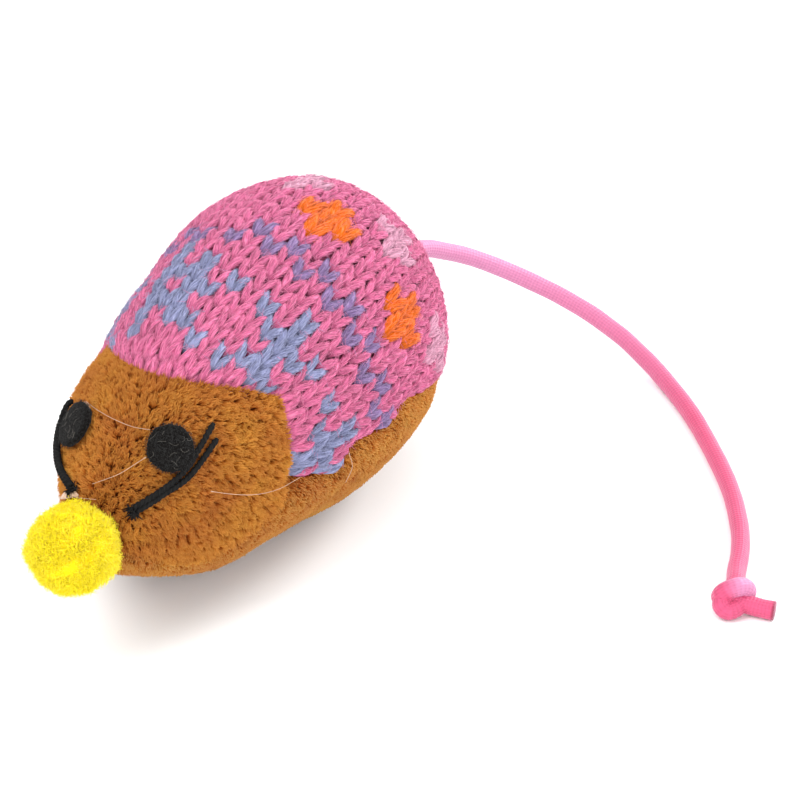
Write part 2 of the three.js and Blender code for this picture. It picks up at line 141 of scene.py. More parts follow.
# Tail: its thickness, how full the satin is, and its route sideways, back from the lift joint and up
TAIL_DIAMETER = 2.8 * MM
SATIN_FULLNESS = 1.08
TAIL_ROUTE = [
    (0.1, 3.1, 20), (0.5, 6.1, 19.5), (1.2, 8.9, 18.7), (2.9, 13.0, 16.6), (5.1, 16.2, 14.8),
    (7.5, 18.6, 13.1), (10.1, 20.5, 11.5), (12.9, 22.0, 10), (15.9, 23.0, 8.7), (19.1, 23.7, 7.5),
    (22.4, 23.9, 6.4), (25.9, 23.7, 5.4), (29.3, 23.1, 4.4), (32.9, 22.0, 3.6), (36.4, 20.4, 2.8),
    (40.1, 18.3, 2.2), (43.7, 15.7, 1.8), (47.5, 12.6, 1.6), (51.3, 9.1, 1.5), (55.0, 5.2, 1.5),
    (58.7, 1.0, 1.5), (62.1, -3.0, 1.5), (65.3, -7.0, 1.5), (68.3, -11.2, 1.5), (71.1, -15.7, 1.5),
    (73.7, -20.4, 1.5), (75.9, -25.5, 1.55), (77.6, -30.6, 1.75), (78.9, -33.9, 2.3),
]

# Overhand knot and sealed end, sideways and away from the knot's middle along its axes, and up from the floor
KNOT_AXES = [(0.87, 0.49, 0), (-0.49, 0.87, 0), (0, 0, 1)]
KNOT_MIDDLE = (0.1, 0.6, 2.4)
KNOT_ROUTE = [
    (0.1, 0.9, 2.4), (-1.0, -0.3, 2.7), (-1.5, -1.2, 2.2), (-0.8, -1.7, 1.6), (0.5, -1.2, 1.6),
    (1.8, 0.3, 2.2), (2.6, 1.2, 3.2), (1.9, 0.8, 4.2), (0.4, 0.0, 4.6), (-1.0, -0.3, 4.1),
    (-1.6, 0.1, 3.0), (-1.1, 0.7, 2.0), (0.2, 0.5, 1.7),
]
END_ROUTE = [(0.1, 0.2, 2.5), (1.3, -0.1, 2.1), (2.8, -0.5, 1.8), (4.6, -1.1, 1.6), (6.7, -1.8, 1.55)]

# Whisker routes and the eye, as station from -1 at the nose to 1 at the tail, and degrees up from the seam
WHISKER_ROUTES = {
    ("upper", "left"): [
        (-0.936, 42.5), (-0.901, 40), (-0.862, 38.9), (-0.829, 38.5), (-0.804, 38.9), (-0.772, 39.8),
        (-0.72, 43), (-0.678, 45.2), (-0.635, 47.2),
    ],
    ("lower", "left"): [
        (-0.935, 37.6), (-0.898, 36), (-0.851, 35.4), (-0.814, 34.7), (-0.79, 34.8), (-0.754, 36.2),
        (-0.716, 38), (-0.682, 39.6), (-0.651, 40.8),
    ],
    ("upper", "right"): [
        (-0.944, 53), (-0.924, 46), (-0.884, 38.5), (-0.844, 36), (-0.804, 35), (-0.76, 35.4),
        (-0.715, 37), (-0.695, 41), (-0.7, 45.5),
    ],
    ("lower", "right"): [
        (-0.946, 48), (-0.922, 41.5), (-0.882, 34.8), (-0.842, 32), (-0.802, 31), (-0.758, 31.5),
        (-0.725, 32.6),
    ],
}
WHISKER_ROOTS = {"left": (-0.941, 40), "right": (-0.948, 51)}
WHISKER_LIFT = {"upper": 0.8 * MM, "lower": 0.65 * MM}
SIDES = {"left": 1, "right": -1}
EYES = {"left": (-0.786, 54.2, 0.0), "right": (-0.802, 54.2, 0.04)}
EYE_RADIUS = 3.45 * MM
EYE_BASE = 0.45 * MM
EYE_TOP = 1.65 * MM

# Glue strings on the left, each as stations and degrees
GLUE_STRINGS = [
    [(-0.733, 122), (-0.779, 108), (-0.801, 93), (-0.801, 80), (-0.784, 70)],
    [(-0.844, 62), (-0.877, 66), (-0.912, 73), (-0.934, 84), (-0.947, 98)],
    [(-0.736, 21.5), (-0.668, 14.7), (-0.58, 9), (-0.489, 6.2), (-0.389, 5.8)],
    [(-0.137, 3), (-0.118, -5), (-0.142, -11)],
    [(-0.957, 135), (-0.968, 113), (-0.968, 88)],
]
GLUE_SMEAR = [(-0.938, 155), (-0.948, 143), (-0.955, 131), (-0.963, 121)]

# Stage: each lamp's place, size and power, what the lamps light, and the camera's and floor's reach
LAMPS = {
    "key": ((-0.35, -0.55, 0.95), 0.8, 8),
    "fill": ((0.8, -0.6, 0.35), 1.0, 6),
    "back": ((0.45, 1.1, 0.65), 0.5, 13),
}
LAMP_TARGET = Vector((0.02, 0.01, 0.02))
SENSOR_WIDTH = 36
NEAREST_SEEN = 0.01
FARTHEST_SEEN = 20
FLOOR_REACH = 3.0
WORLD_STRENGTH = 1.15


def srgb(text):
    """A colour written as six hex digits, as Blender's linear colour."""
    parts = [int(text[i:i + 2], 16) / 255 for i in (0, 2, 4)]
    return tuple(p / 12.92 if p <= 0.04045 else ((p + 0.055) / 1.055) ** 2.4 for p in parts)


def colour_setting(name, text, description):
    return bpy.props.FloatVectorProperty(
        name=name, description=description, default=srgb(text), size=3, min=0, max=1, subtype="COLOR"
    )


def length_setting(name, millimetres, description):
    return bpy.props.FloatProperty(
        name=name, description=description, default=millimetres * MM, min=0, unit="LENGTH", precision=5
    )


class MouseKnit(bpy.types.PropertyGroup):
    """Sizes and colours of the knitted back"""

    wale: length_setting("Stitch width", 3.25, "Width of a column of stitches at the widest place")
    course: length_setting("Stitch height", 3.3, "Distance from one row of stitches to the next")
    yarn: length_setting("Yarn", 1.36, "Width of the yarn at the middle of a stitch's leg")
    ground: colour_setting("Ground", "C26088", "Yarn of the plain stitches")
    trellis: colour_setting("Trellis", "7E82A4", "Yarn of the trellis behind the face")
    zigzag: colour_setting("Zigzag", "7F6692", "Yarn of the zigzag rows")
    flower: colour_setting("Flowers", "D05E08", "Yarn of the front row of flowers")
    blossom: colour_setting("Blossoms", "C48CA4", "Yarn of the rear row of flowers")


class MousePlush(bpy.types.PropertyGroup):
    """Sizes and colours of the plush"""

    face_pile: length_setting("Face pile", 1.8, "Length of the pile on the face")
    belly_pile: length_setting("Belly pile", 1.0, "Length of the pile on the belly")
    # The root colour is painted shade: the pile darkens towards its roots, deep in the pile.
    root: colour_setting("Root", "602C0A", "Colour at the bottom of the pile")
    middle: colour_setting("Middle", "A85A1A", "Colour halfway up the pile")
    tip: colour_setting("Tip", "C4843C", "Colour at the tips of the pile")
    belly: colour_setting("Belly tip", "BE8846", "Colour at the tips of the belly's pile")


class MouseTrim(bpy.types.PropertyGroup):
    """Colours of the nose, eyes, whiskers, glue and filling"""

    pompom: colour_setting("Pompom", "F6E412", "Fluff of the nose")
    pompom_shade: colour_setting("Pompom shade", "EED004", "Fluff deep in the nose")
    felt: colour_setting("Felt", "12100F", "Felt of the eyes")
    lint: colour_setting("Lint", "6C6862", "Fibres caught on the felt")
    thread: colour_setting("Whisker thread", "050404", "Thread of the whiskers")
    glue: colour_setting("Glue", "E2BC9C", "Strings and pads of glue")
    sewing: colour_setting("Sewing thread", "8C5722", "Thread of the seams")
    fibre: colour_setting("Fibre fill", "F1EEE8", "Fibre inside the body")
    leaf: colour_setting("Catnip", "7C8A4A", "Dried leaves inside the fibre")


class MouseTail(bpy.types.PropertyGroup):
    """Finish of the cord tail"""

    satin: colour_setting("Satin", "BE4668", "Colour of the cord")
    # The cord's paler colour is a painted highlight: it lies along the cord towards the body, over the root
    # and on the band of the knot.
    highlit_satin: colour_setting("Highlit satin", "BE799C", "Colour of the cord towards the body")
    gleam: colour_setting("Gleam", "FFC4EE", "Colour of the cord's soft gleam")
    sealed: colour_setting("Sealed end", "8E2C40", "Colour of the melted end")


class MouseStage(bpy.types.PropertyGroup):
    """Camera, light and floor"""

    camera_place: bpy.props.FloatVectorProperty(
        name="Camera", description="Where the camera stands",
        default=(0.2946, -0.509, 0.3909), subtype="XYZ",
    )
    camera_target: bpy.props.FloatVectorProperty(
        name="Target", description="What the camera looks at",
        default=(0.02166, 0.01924, 0.02065), subtype="XYZ",
    )
    camera_roll: bpy.props.FloatProperty(
        name="Roll", description="Turn of the camera about its view",
        default=math.radians(1.273), subtype="ANGLE",
    )
    lens: bpy.props.FloatProperty(
        name="Lens", description="Focal length", default=199.3, min=1, unit="CAMERA",
    )
    floor: colour_setting("Floor", "F4F4F4", "Colour of the floor")


# The skin

def swell(polar, shape):
    """How far the body swells at a polar angle from the nose, before its peak is brought to 1."""
    station = -np.cos(polar)
    return np.sin(polar) * (1 + shape[0] * station + shape[1] * station ** 2)


def peak_of(shape):
    """The greatest swell of a shape."""
    samples = 2001
    return swell(np.linspace(0, math.pi, samples), shape).max()


WIDTH_PEAK = peak_of(WIDTH_SWELL)
BACK_PEAK = peak_of(BACK_SWELL)
BELLY_PEAK = peak_of(BELLY_SWELL)


def heights(polar):
    """How far the back rises above the level seam, and how far the belly drops below it."""
    back = BACK_RISE * swell(polar, BACK_SWELL) / BACK_PEAK
    belly = BELLY_DROP * swell(polar, BELLY_SWELL) / BELLY_PEAK
    return back, belly


def plain_skin(polar, angle):
    """Points of the smooth body, at a polar angle from the nose and an angle up from the left seam."""
    up = np.sin(angle)
    back, belly = heights(polar)
    wide = HALF_WIDTH * swell(polar, WIDTH_SWELL) / WIDTH_PEAK
    rise = SEAM_HEIGHT + up * np.where(up > 0, back, belly)
    return np.stack([wide * np.cos(angle), MIDDLE - HALF_LENGTH * np.cos(polar), rise], axis=-1)


def smoothstep(low, high, value):
    """A smooth rise from 0 at low to 1 at high."""
    share = np.clip((value - low) / (high - low), 0, 1)
    return share * share * (3 - 2 * share)


def unit(vectors):
    """The vectors brought to length 1."""
    least = 1e-12
    return vectors / np.maximum(np.linalg.norm(vectors, axis=-1, keepdims=True), least)


def skin_slopes(polar, angle, step):
    """How the smooth body's points move with the polar angle, and with the angle round the body."""
    along = (plain_skin(polar + step, angle) - plain_skin(polar - step, angle)) / (2 * step)
    around = (plain_skin(polar, angle + step) - plain_skin(polar, angle - step)) / (2 * step)
    return along, around


def skin_frame(polar, angle):
    """The smooth body's points with the directions out, back to the tail, and up round the body."""
    step = 1e-3
    pole = 0.02
    near = np.clip(polar, pole, math.pi - pole)
    back = plain_skin(near + step, angle) - plain_skin(near - step, angle)
    around = plain_skin(near, angle + step) - plain_skin(near, angle - step)
    return plain_skin(polar, angle), unit(np.cross(back, around)), unit(back), unit(around)


def face_seam_at(sideways):
    """How far back the face seam lies at a distance from the middle."""
    share = np.minimum(1, (sideways / FACE_SEAM_CORNER) ** 2)
    past_corner = np.maximum(0, np.abs(sideways) - FACE_SEAM_CORNER)
    sweep = (FACE_SEAM_SIDE - FACE_SEAM_CROWN) * share
    return FRONT + FACE_SEAM_CROWN + sweep - FACE_SEAM_RETURN * past_corner


def behind_face_seam(places):
    """Distance behind the face seam, below zero on the face."""
    step = 0.1 * MM
    sideways = places[..., 0]
    slope = (face_seam_at(sideways + step) - face_seam_at(sideways - step)) / (2 * step)
    return (places[..., 1] - face_seam_at(sideways)) / np.sqrt(1 + slope ** 2)


def belly_seam_rise(station):
    """How far the belly seam lies above its level."""
    stations, rises = zip(*BELLY_SEAM_WAVE)
    return np.interp(station, stations, rises) * MM


def above_belly_seam(places):
    """Height above the belly seam, below zero on the belly."""
    station = (places[..., 1] - MIDDLE) / HALF_LENGTH
    return places[..., 2] - SEAM_HEIGHT - belly_seam_rise(station)


def belly_seam_angle(polar):
    """The angle up from the level seam at which the belly seam lies on the left."""
    rise = belly_seam_rise(-np.cos(polar))
    back, belly = heights(polar)
    reach = np.maximum(np.where(rise > 0, back, belly), MM)
    return np.arcsin(np.clip(rise / reach, -BELLY_SEAM_STEEPEST, BELLY_SEAM_STEEPEST))


def above_seam(polar, turn):
    """Angles from 0 to half a turn, drawn in or out to lie between the two sides of the belly seam."""
    low = belly_seam_angle(polar)
    return low + (math.pi - 2 * low) * turn / math.pi


def puckered(places):
    """How far the seams draw the skin in: fully along the knitting, hardly between face and belly."""
    above = above_belly_seam(places)
    behind = behind_face_seam(places)
    face_seam = np.where(above > 0, np.exp(-(behind / PUCKER_WIDTH) ** 2), 0)
    firm = SOFT_SEAM + (1 - SOFT_SEAM) * smoothstep(-PUCKER_FADE, 0, behind)
    belly_seam = firm * np.exp(-(above / PUCKER_WIDTH) ** 2)
    return PUCKER_DEPTH * np.maximum(face_seam, belly_seam)


def hollowed(polar, angle):
    """How far the skin sinks where the filling is loose."""
    station = -np.cos(polar)
    depth = np.zeros(np.broadcast(polar, angle).shape)
    for middle, degrees, along, around, deepest in HOLLOWS:
        turn = angle - math.radians(degrees)
        turn = np.arctan2(np.sin(turn), np.cos(turn)) / math.radians(around)
        depth = depth + deepest * np.exp(-((station - middle) / along) ** 2 - turn ** 2)
    return depth


def lumpy(polar, angle):
    """How far the filling lifts or drops the skin."""
    along, shift, around = BROAD_LUMPS
    broad = np.sin(along * polar + shift) * np.cos(around * angle)
    along, shift, around, turn = SMALL_LUMPS
    small = np.sin(along * polar + shift) * np.sin(around * angle + turn)
    return LUMP_HEIGHT * (broad + small) / 2


def relief(polar, angle, places):
    """How far the skin stands out from the smooth body: lumps, less hollows, puckers and two dimples."""
    mirrored = np.stack([np.abs(places[..., 0]), places[..., 1], places[..., 2]], axis=-1)
    apart = np.linalg.norm(mirrored - np.array(DIMPLE), axis=-1)
    dimples = DIMPLE_DEPTH * np.exp(-(apart / DIMPLE_WIDTH) ** 2)
    return lumpy(polar, angle) - hollowed(polar, angle) - puckered(places) - dimples


def skin(polar, angle, lift=0.0):
    """Points of the skin with its relief, moved out by lift."""
    polar, angle, lift = np.broadcast_arrays(polar, angle, lift)
    places, out, _, _ = skin_frame(polar, angle)
    return places + out * (relief(polar, angle, places) + lift)[..., None]


def polar_of(station):
    """The polar angle of a station from -1 at the nose to 1 at the tail."""
    return np.arccos(-np.asarray(station, dtype=float))


def on_side(degrees, side):
    """The angle up from the left seam, or its mirror on the right."""
    turn = np.radians(degrees)
    return turn if side > 0 else math.pi - turn


def face_seam_polar(angle):
    """The polar angle at which the face seam crosses each angle round the body."""
    halvings = 40
    low = np.zeros_like(angle)
    high = np.full_like(angle, math.pi)
    for _ in range(halvings):
        middle = (low + high) / 2
        ahead = behind_face_seam(plain_skin(middle, angle)) < 0
        low = np.where(ahead, middle, low)
        high = np.where(ahead, high, middle)
    return low


def scatter(rng, density, polar_range, angle_range, keep):
    """Evenly spread places on the skin, as polar angles and angles, so many to a square metre."""
    rows = 160
    columns = 200
    polar_step = (polar_range[1] - polar_range[0]) / rows
    angle_step = (angle_range[1] - angle_range[0]) / columns
    polar = polar_range[0] + (np.arange(rows) + 0.5) * polar_step
    angle = angle_range[0] + (np.arange(columns) + 0.5) * angle_step
    polar, angle = np.meshgrid(polar, angle, indexing="ij")
    angle[1::2] = angle[1::2, ::-1]
    along, around = skin_slopes(polar, angle, step=1e-4)
    area = np.linalg.norm(np.cross(along, around), axis=-1) * polar_step * angle_step
    total = area.sum()
    count = int(total * density)
    wanted = (np.arange(count) + rng.random(count)) / count * total
    chosen = np.minimum(np.searchsorted(np.cumsum(area.ravel()), wanted), area.size - 1)
    polar = polar.ravel()[chosen] + (rng.random(count) - 0.5) * polar_step
    angle = angle.ravel()[chosen] + (rng.random(count) - 0.5) * angle_step
    kept = keep(plain_skin(polar, angle))
    return polar[kept], angle[kept]


# Meshes

def run_along(places):
    """Distance along a line of places from its start."""
    return np.concatenate([[0], np.cumsum(np.linalg.norm(np.diff(places, axis=0), axis=1))])


def smooth_route(points, count):
    """A smooth curve through the points, as count places evenly spaced along it."""
    points = np.asarray(points, dtype=float)
    gaps = np.linalg.norm(np.diff(points, axis=0), axis=1)
    knots = run_along(points)
    slopes = np.diff(points, axis=0) / gaps[:, None]
    tangents = np.empty_like(points)
    tangents[0] = slopes[0]
    tangents[-1] = slopes[-1]
    before = gaps[:-1, None]
    after = gaps[1:, None]
    tangents[1:-1] = (slopes[1:] * before + slopes[:-1] * after) / (before + after)

    def at(run):
        index = np.clip(np.searchsorted(knots, run, side="right") - 1, 0, len(gaps) - 1)
        gap = gaps[index]
        share = ((run - knots[index]) / gap)[:, None]
        gap = gap[:, None]
        start = (1 + 2 * share) * (1 - share) ** 2
        end = share ** 2 * (3 - 2 * share)
        leave = share * (1 - share) ** 2 * gap
        arrive = share ** 2 * (share - 1) * gap
        return (points[index] * start + points[index + 1] * end
                + tangents[index] * leave + tangents[index + 1] * arrive)

    finer = 8
    fine = np.linspace(0, knots[-1], count * finer)
    run = run_along(at(fine))
    return at(np.interp(np.linspace(0, run[-1], count), run, fine))


def carried(path, start):
    """A direction square to a path, carried along it without twisting."""
    ahead = unit(np.gradient(path, axis=0))
    up = np.asarray(start, dtype=float)
    carried_up = []
    for direction in ahead:
        up = up - direction * np.dot(up, direction)
        up = up / np.linalg.norm(up)
        carried_up.append(up)
    return np.array(carried_up)


def laid(route, side, lift, count):
    """A smooth path over the skin, from stations and degrees, with a direction that is carried along it."""
    stations, degrees = np.array(route).T
    places, out, _, _ = skin_frame(polar_of(stations), on_side(degrees, side))
    path = smooth_route(places + out * lift, count)
    return path, carried(path, out[0])


def swept(paths, radii, up, sides, lobes=0, lobe_depth=0.0, twist=0.0, flat=1.0):
    """Rings of vertices round many paths at once: strand, ring, side, xyz."""
    rings = paths.shape[1]
    ahead = unit(np.gradient(paths, axis=1))
    across = unit(np.cross(ahead, np.broadcast_to(up, paths.shape)))
    top = np.cross(across, ahead)
    round_angle = np.arange(sides) * TAU / sides
    turn = round_angle[None, :] + twist * np.linspace(0, 1, rings)[:, None]
    lobed = 1 + lobe_depth * np.cos(lobes * round_angle)
    reach = np.broadcast_to(radii, paths.shape[:2])[..., None] * lobed
    sideways = (reach * np.cos(turn))[..., None] * across[:, :, None, :]
    upwards = (reach * np.sin(turn) * flat)[..., None] * top[:, :, None, :]
    return paths[:, :, None, :] + sideways + upwards


def even(rings):
    """A bundle of strands that all have the middle tint."""
    return rings, np.full(len(rings), MIDDLE_TINT)


def tube(path, radii, up, sides, **form):
    """A bundle of one strand along a path, with the middle tint."""
    return even(swept(path[None], np.broadcast_to(radii, len(path))[None], up[None], sides, **form))


def shares_along(count):
    """Shares of the way along strands, shaped to go with their points."""
    return np.linspace(0, 1, count)[None, :, None]


def strand_faces(count, rings, sides, first):
    """Corner indices of the side quads and of the two end faces of swept strands."""
    index = first + np.arange(count * rings * sides).reshape(count, rings, sides)
    following = np.roll(index, -1, axis=2)
    quads = np.stack([index[:, :-1], index[:, 1:], following[:, 1:], following[:, :-1]], axis=-1)
    ends = np.stack([index[:, 0], index[:, -1, ::-1]], axis=1)
    return quads.reshape(-1, 4), ends.reshape(-1, sides)


def strand_maps(count, rings, sides, first, columns):
    """Map corners for strand_faces: each strand has a cell of a square grid to itself."""
    cell = first + np.arange(count)
    corner = np.stack([cell % columns, cell // columns], axis=-1).astype(float)
    side = np.arange(sides)
    ring = np.arange(rings - 1)
    shape = (rings - 1, sides)
    left = np.broadcast_to(side / sides, shape)
    right = np.broadcast_to((side + 1) / sides, shape)
    low = np.broadcast_to((ring / (rings - 1))[:, None], shape)
    high = np.broadcast_to(((ring + 1) / (rings - 1))[:, None], shape)
    quads = np.stack([np.stack([left, left, right, right], -1), np.stack([low, high, high, low], -1)], -1)
    quads = quads * MAP_SIDES + MAP_CORNER
    turn = side * TAU / sides
    circle = np.stack([np.cos(turn), np.sin(turn)], axis=-1) * MAP_END_RADIUS
    ends = np.stack([circle + MAP_FIRST_END, circle[::-1] + MAP_LAST_END])
    quads = (quads[None] + corner[:, None, None, None, :]) / columns
    ends = (ends[None] + corner[:, None, None, :]) / columns
    return quads.reshape(-1, 2), ends.reshape(-1, 2)


def strand_object(name, bundles, material, body="mouse"):
    """One object from bundles of swept strands, each with its rings and a tint for every strand."""
    strands = sum(len(rings) for rings, _ in bundles)
    columns = math.ceil(math.sqrt(strands))
    places, corners, totals, maps, along, tints, lay = [], [], [], [], [], [], []
    vertex = 0
    strand = 0
    for rings, tint in bundles:
        count, ring_count, sides, _ = rings.shape
        quads, ends = strand_faces(count, ring_count, sides, vertex)
        quad_map, end_map = strand_maps(count, ring_count, sides, strand, columns)
        middle = rings.mean(axis=2)
        steps = np.linalg.norm(np.diff(middle, axis=1), axis=-1)
        run = np.concatenate([np.zeros((count, 1)), np.cumsum(steps, axis=1)], axis=1)
        radius = np.linalg.norm(rings - middle[:, :, None, :], axis=-1)
        turn = np.arange(sides) * TAU / sides
        shape = rings.shape[:3]
        tint_all = np.broadcast_to(np.asarray(tint)[:, None, None], shape)
        coordinates = np.stack([
            radius * np.cos(turn) / MM + tint_all * STRAND_SPACING,
            radius * np.sin(turn) / MM,
            np.broadcast_to(run[:, :, None], shape) / MM,
        ], axis=-1)
        places.append(rings.reshape(-1, 3))
        corners += [quads.ravel(), ends.ravel()]
        totals += [np.full(len(quads), 4), np.full(len(ends), sides)]
        maps += [quad_map, end_map]
        along.append(np.broadcast_to(np.linspace(0, 1, ring_count)[None, :, None], shape).ravel())
        tints.append(tint_all.ravel())
        lay.append(coordinates.reshape(-1, 3))
        vertex += rings.size // 3
        strand += count
    places = np.concatenate(places)
    places[:, 2] = np.maximum(places[:, 2], FLOOR_GAP)
    corners = np.concatenate(corners)
    totals = np.concatenate(totals)
    mesh = bpy.data.meshes.new(name)
    mesh.vertices.add(len(places))
    mesh.vertices.foreach_set("co", places.astype(np.float32).ravel())
    mesh.loops.add(len(corners))
    mesh.loops.foreach_set("vertex_index", corners.astype(np.int32))
    mesh.polygons.add(len(totals))
    mesh.polygons.foreach_set("loop_start", (np.cumsum(totals) - totals).astype(np.int32))
    mesh.update(calc_edges=True)
    mesh.polygons.foreach_set("use_smooth", np.ones(len(totals), dtype=bool))
    layer = mesh.uv_layers.new(name="OFBake")
    layer.data.foreach_set("uv", np.concatenate(maps).astype(np.float32).ravel())
    mark(mesh, "along", "FLOAT", np.concatenate(along))
    mark(mesh, "tint", "FLOAT", np.concatenate(tints))
    mark(mesh, "lay", "FLOAT_VECTOR", np.concatenate(lay))
    return placed(name, mesh, material, body)


def strand_objects(name, bundle, material):
    """A large bundle as several objects, none with more than MOST_TRIANGLES triangles."""
    rings, tint = bundle
    count, ring_count, sides, _ = rings.shape
    triangles = 2 * sides * (ring_count - 1) + 2 * (sides - 2)
    parts = math.ceil(count * triangles / MOST_TRIANGLES)
    for number, chosen in enumerate(np.array_split(np.arange(count), parts), 1):
        strand_object(f"{name}_{number}", [(rings[chosen], tint[chosen])], material)


def mark(mesh, name, kind, values):
    """A named value for each vertex, for the materials."""
    attribute = mesh.attributes.new(name, kind, "POINT")
    field = "vector" if kind == "FLOAT_VECTOR" else "value"
    attribute.data.foreach_set(field, values.astype(np.float32).ravel())


def placed(name, mesh, material, body="mouse"):
    """The mesh as an object with its material, riding on a body unless body is None."""
    made = bpy.data.objects.new(name, mesh)
    bpy.context.scene.collection.objects.link(made)
    mesh.materials.append(material)
    if body:
        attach(made, body)
    return made


def sheet_object(name, outer, inner, material):
    """A closed sheet between two grids of points, with its edges joined."""
    rows, columns = outer.shape[:2]
    index = np.arange(rows * columns).reshape(rows, columns)
    top = np.stack([index[:-1, :-1], index[1:, :-1], index[1:, 1:], index[:-1, 1:]], axis=-1).reshape(-1, 4)
    bottom = top[:, ::-1] + rows * columns
    rim = np.concatenate([index[0, :-1], index[:-1, -1], index[-1, :0:-1], index[:0:-1, 0]])
    following = np.roll(rim, -1)
    walls = np.stack([rim, following, following + rows * columns, rim + rows * columns], axis=-1)
    places = np.concatenate([outer.reshape(-1, 3), inner.reshape(-1, 3)])
    places[:, 2] = np.maximum(places[:, 2], FLOOR_GAP)
    mesh = bpy.data.meshes.new(name)
    mesh.from_pydata(places.tolist(), [], np.concatenate([top, bottom, walls]).tolist())
    work = bmesh.new()
    work.from_mesh(mesh)
    bmesh.ops.remove_doubles(work, verts=work.verts, dist=WELD)
    bmesh.ops.dissolve_degenerate(work, edges=work.edges, dist=WELD)
    bmesh.ops.recalc_face_normals(work, faces=work.faces)
    work.to_mesh(mesh)
    work.free()
    mesh.polygons.foreach_set("use_smooth", np.ones(len(mesh.polygons), dtype=bool))
    return placed(name, mesh, material)


def panel(name, polar, angle, depths, material, node):
    """A padded panel of the body between two depths under the skin, which stands for its solid."""
    outer, inner = (skin(polar, angle, -depth) for depth in depths)
    made = sheet_object(name, outer, inner, material)
    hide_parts(node)


# Materials

def shaded(colour, share):
    """A colour made darker, or lighter above 1."""
    return tuple(part * share for part in colour)


def paler(colour, share):
    """A colour mixed with white."""
    return tuple(part + (1 - part) * share for part in colour)


def opaque(colour):
    """A colour with the fourth part that a socket takes."""
    return (*colour, 1)


class Finish:
    """A material under construction, with short calls for its nodes."""

    def __init__(self, name, colour, roughness, **sockets):
        self.material = bpy.data.materials.new(name)
        self.material.use_nodes = True
        self.tree = self.material.node_tree
        self.surface = self.tree.nodes["Principled BSDF"]
        self.surface.inputs["Base Color"].default_value = opaque(colour)
        self.surface.inputs["Roughness"].default_value = roughness
        for socket, value in sockets.items():
            self.surface.inputs[socket.replace("_", " ")].default_value = value

    def add(self, kind, inputs=(), **options):
        node = self.tree.nodes.new("ShaderNode" + kind)
        for option, value in options.items():
            setattr(node, option, value)
        for socket, value in dict(inputs).items():
            if isinstance(value, bpy.types.NodeSocket):
                self.tree.links.new(value, node.inputs[socket])
            else:
                node.inputs[socket].default_value = value
        return node

    def attribute(self, name, output="Fac"):
        return self.add("Attribute", attribute_name=name).outputs[output]

    def noise(self, vector, scale, detail=3.0, roughness=0.6):
        inputs = {"Vector": vector, "Scale": scale, "Detail": detail, "Roughness": roughness}
        return self.add("TexNoise", inputs).outputs["Fac"]

    def stretched(self, vector, scale):
        return self.add("Mapping", {"Vector": vector, "Scale": scale}).outputs["Vector"]

    def ramp(self, factor, stops):
        node = self.add("ValToRGB", {"Fac": factor})
        band = node.color_ramp
        while len(band.elements) < len(stops):
            band.elements.new(0.5)
        for element, (place, colour) in zip(band.elements, stops):
            element.position = place
            element.color = opaque(colour)
        return node.outputs["Color"]

    def ranged(self, value, low, high):
        return self.add("MapRange", {"Value": value, "To Min": low, "To Max": high}).outputs["Result"]

    def toned(self, colour, value, hue=0.5):
        inputs = {"Color": colour, "Value": value, "Hue": hue}
        return self.add("HueSaturation", inputs).outputs["Color"]

    def paint(self, colour):
        self.tree.links.new(colour, self.surface.inputs["Base Color"])

    def bump(self, height, strength, distance):
        node = self.add("Bump", {"Height": height, "Strength": strength, "Distance": distance})
        self.tree.links.new(node.outputs["Normal"], self.surface.inputs["Normal"])

    def place(self):
        return self.add("TexCoord").outputs["Object"]

    def sum(self, first, second, operation="ADD"):
        return self.add("Math", {0: first, 1: second}, operation=operation).outputs[0]

    def braid(self, lay, ends, slope):
        """Threads that cross round a cord, from 0 in the gaps to 1 on the threads."""
        parts = self.add("SeparateXYZ", {"Vector": lay}).outputs
        across = self.sum(parts["X"], STRAND_SPACING / 2, "SUBTRACT")
        turn = self.sum(self.sum(parts["Y"], across, "ARCTAN2"), ends, "MULTIPLY")
        run = self.sum(parts["Z"], slope, "MULTIPLY")
        left = self.sum(self.sum(turn, run), 0.0, "SINE")
        right = self.sum(self.sum(turn, run, "SUBTRACT"), 0.0, "SINE")
        return self.sum(self.sum(self.sum(left, right, "MULTIPLY"), 1.0), 0.5, "MULTIPLY")


# Painted shade: each leg of yarn darkens towards its ends, where it goes under its neighbours.
YARN_SHADE = [(0.0, (0.3, 0.3, 0.3)), (0.3, (1, 1, 1)), (0.7, (1, 1, 1)), (1.0, (0.4, 0.4, 0.4))]


def yarn_finish(name, colour):
    """Spun yarn: streaks of fibre along its twist, each leg a little lighter or darker, with painted shade
    towards its ends.
    """
    made = Finish(
        name, colour, roughness=0.92, Specular_IOR_Level=0.1,
        Sheen_Weight=0.18, Sheen_Roughness=0.4, Sheen_Tint=opaque(paler(colour, 0.6)),
    )
    spun = made.stretched(made.attribute("lay", "Vector"), scale=(3.2, 3.2, 0.55))
    streaks = made.noise(spun, scale=1.0, detail=4.0, roughness=0.7)
    stops = [(0.28, shaded(colour, 0.38)), (0.5, colour), (0.74, paler(shaded(colour, 1.3), 0.12))]
    under = made.ramp(made.attribute("along"), YARN_SHADE)
    tone = made.sum(made.ranged(made.attribute("tint"), low=0.88, high=1.14), under, "MULTIPLY")
    made.paint(made.toned(made.ramp(streaks, stops), tone))
    made.bump(streaks, strength=0.55, distance=0.12 * MM)
    return made.material


def pile_finish(name, root, middle, tip):
    """Plush pile: dark at the root, as painted shade deep in the pile, and pale at the tip, in faint patches.
    """
    made = Finish(
        name, middle, roughness=0.85, Specular_IOR_Level=0.1,
        Sheen_Weight=0.12, Sheen_Roughness=0.5, Sheen_Tint=opaque(tip),
    )
    shade = made.ramp(made.attribute("along"), [(0.1, root), (0.55, middle), (1.0, tip)])
    patches = made.noise(made.place(), scale=130.0)
    each = made.ranged(made.attribute("tint"), low=0.82, high=1.14)
    tone = made.sum(made.ranged(patches, low=0.7, high=1.3), each, "MULTIPLY")
    made.paint(made.toned(shade, tone, made.ranged(patches, low=0.478, high=0.522)))
    return made.material


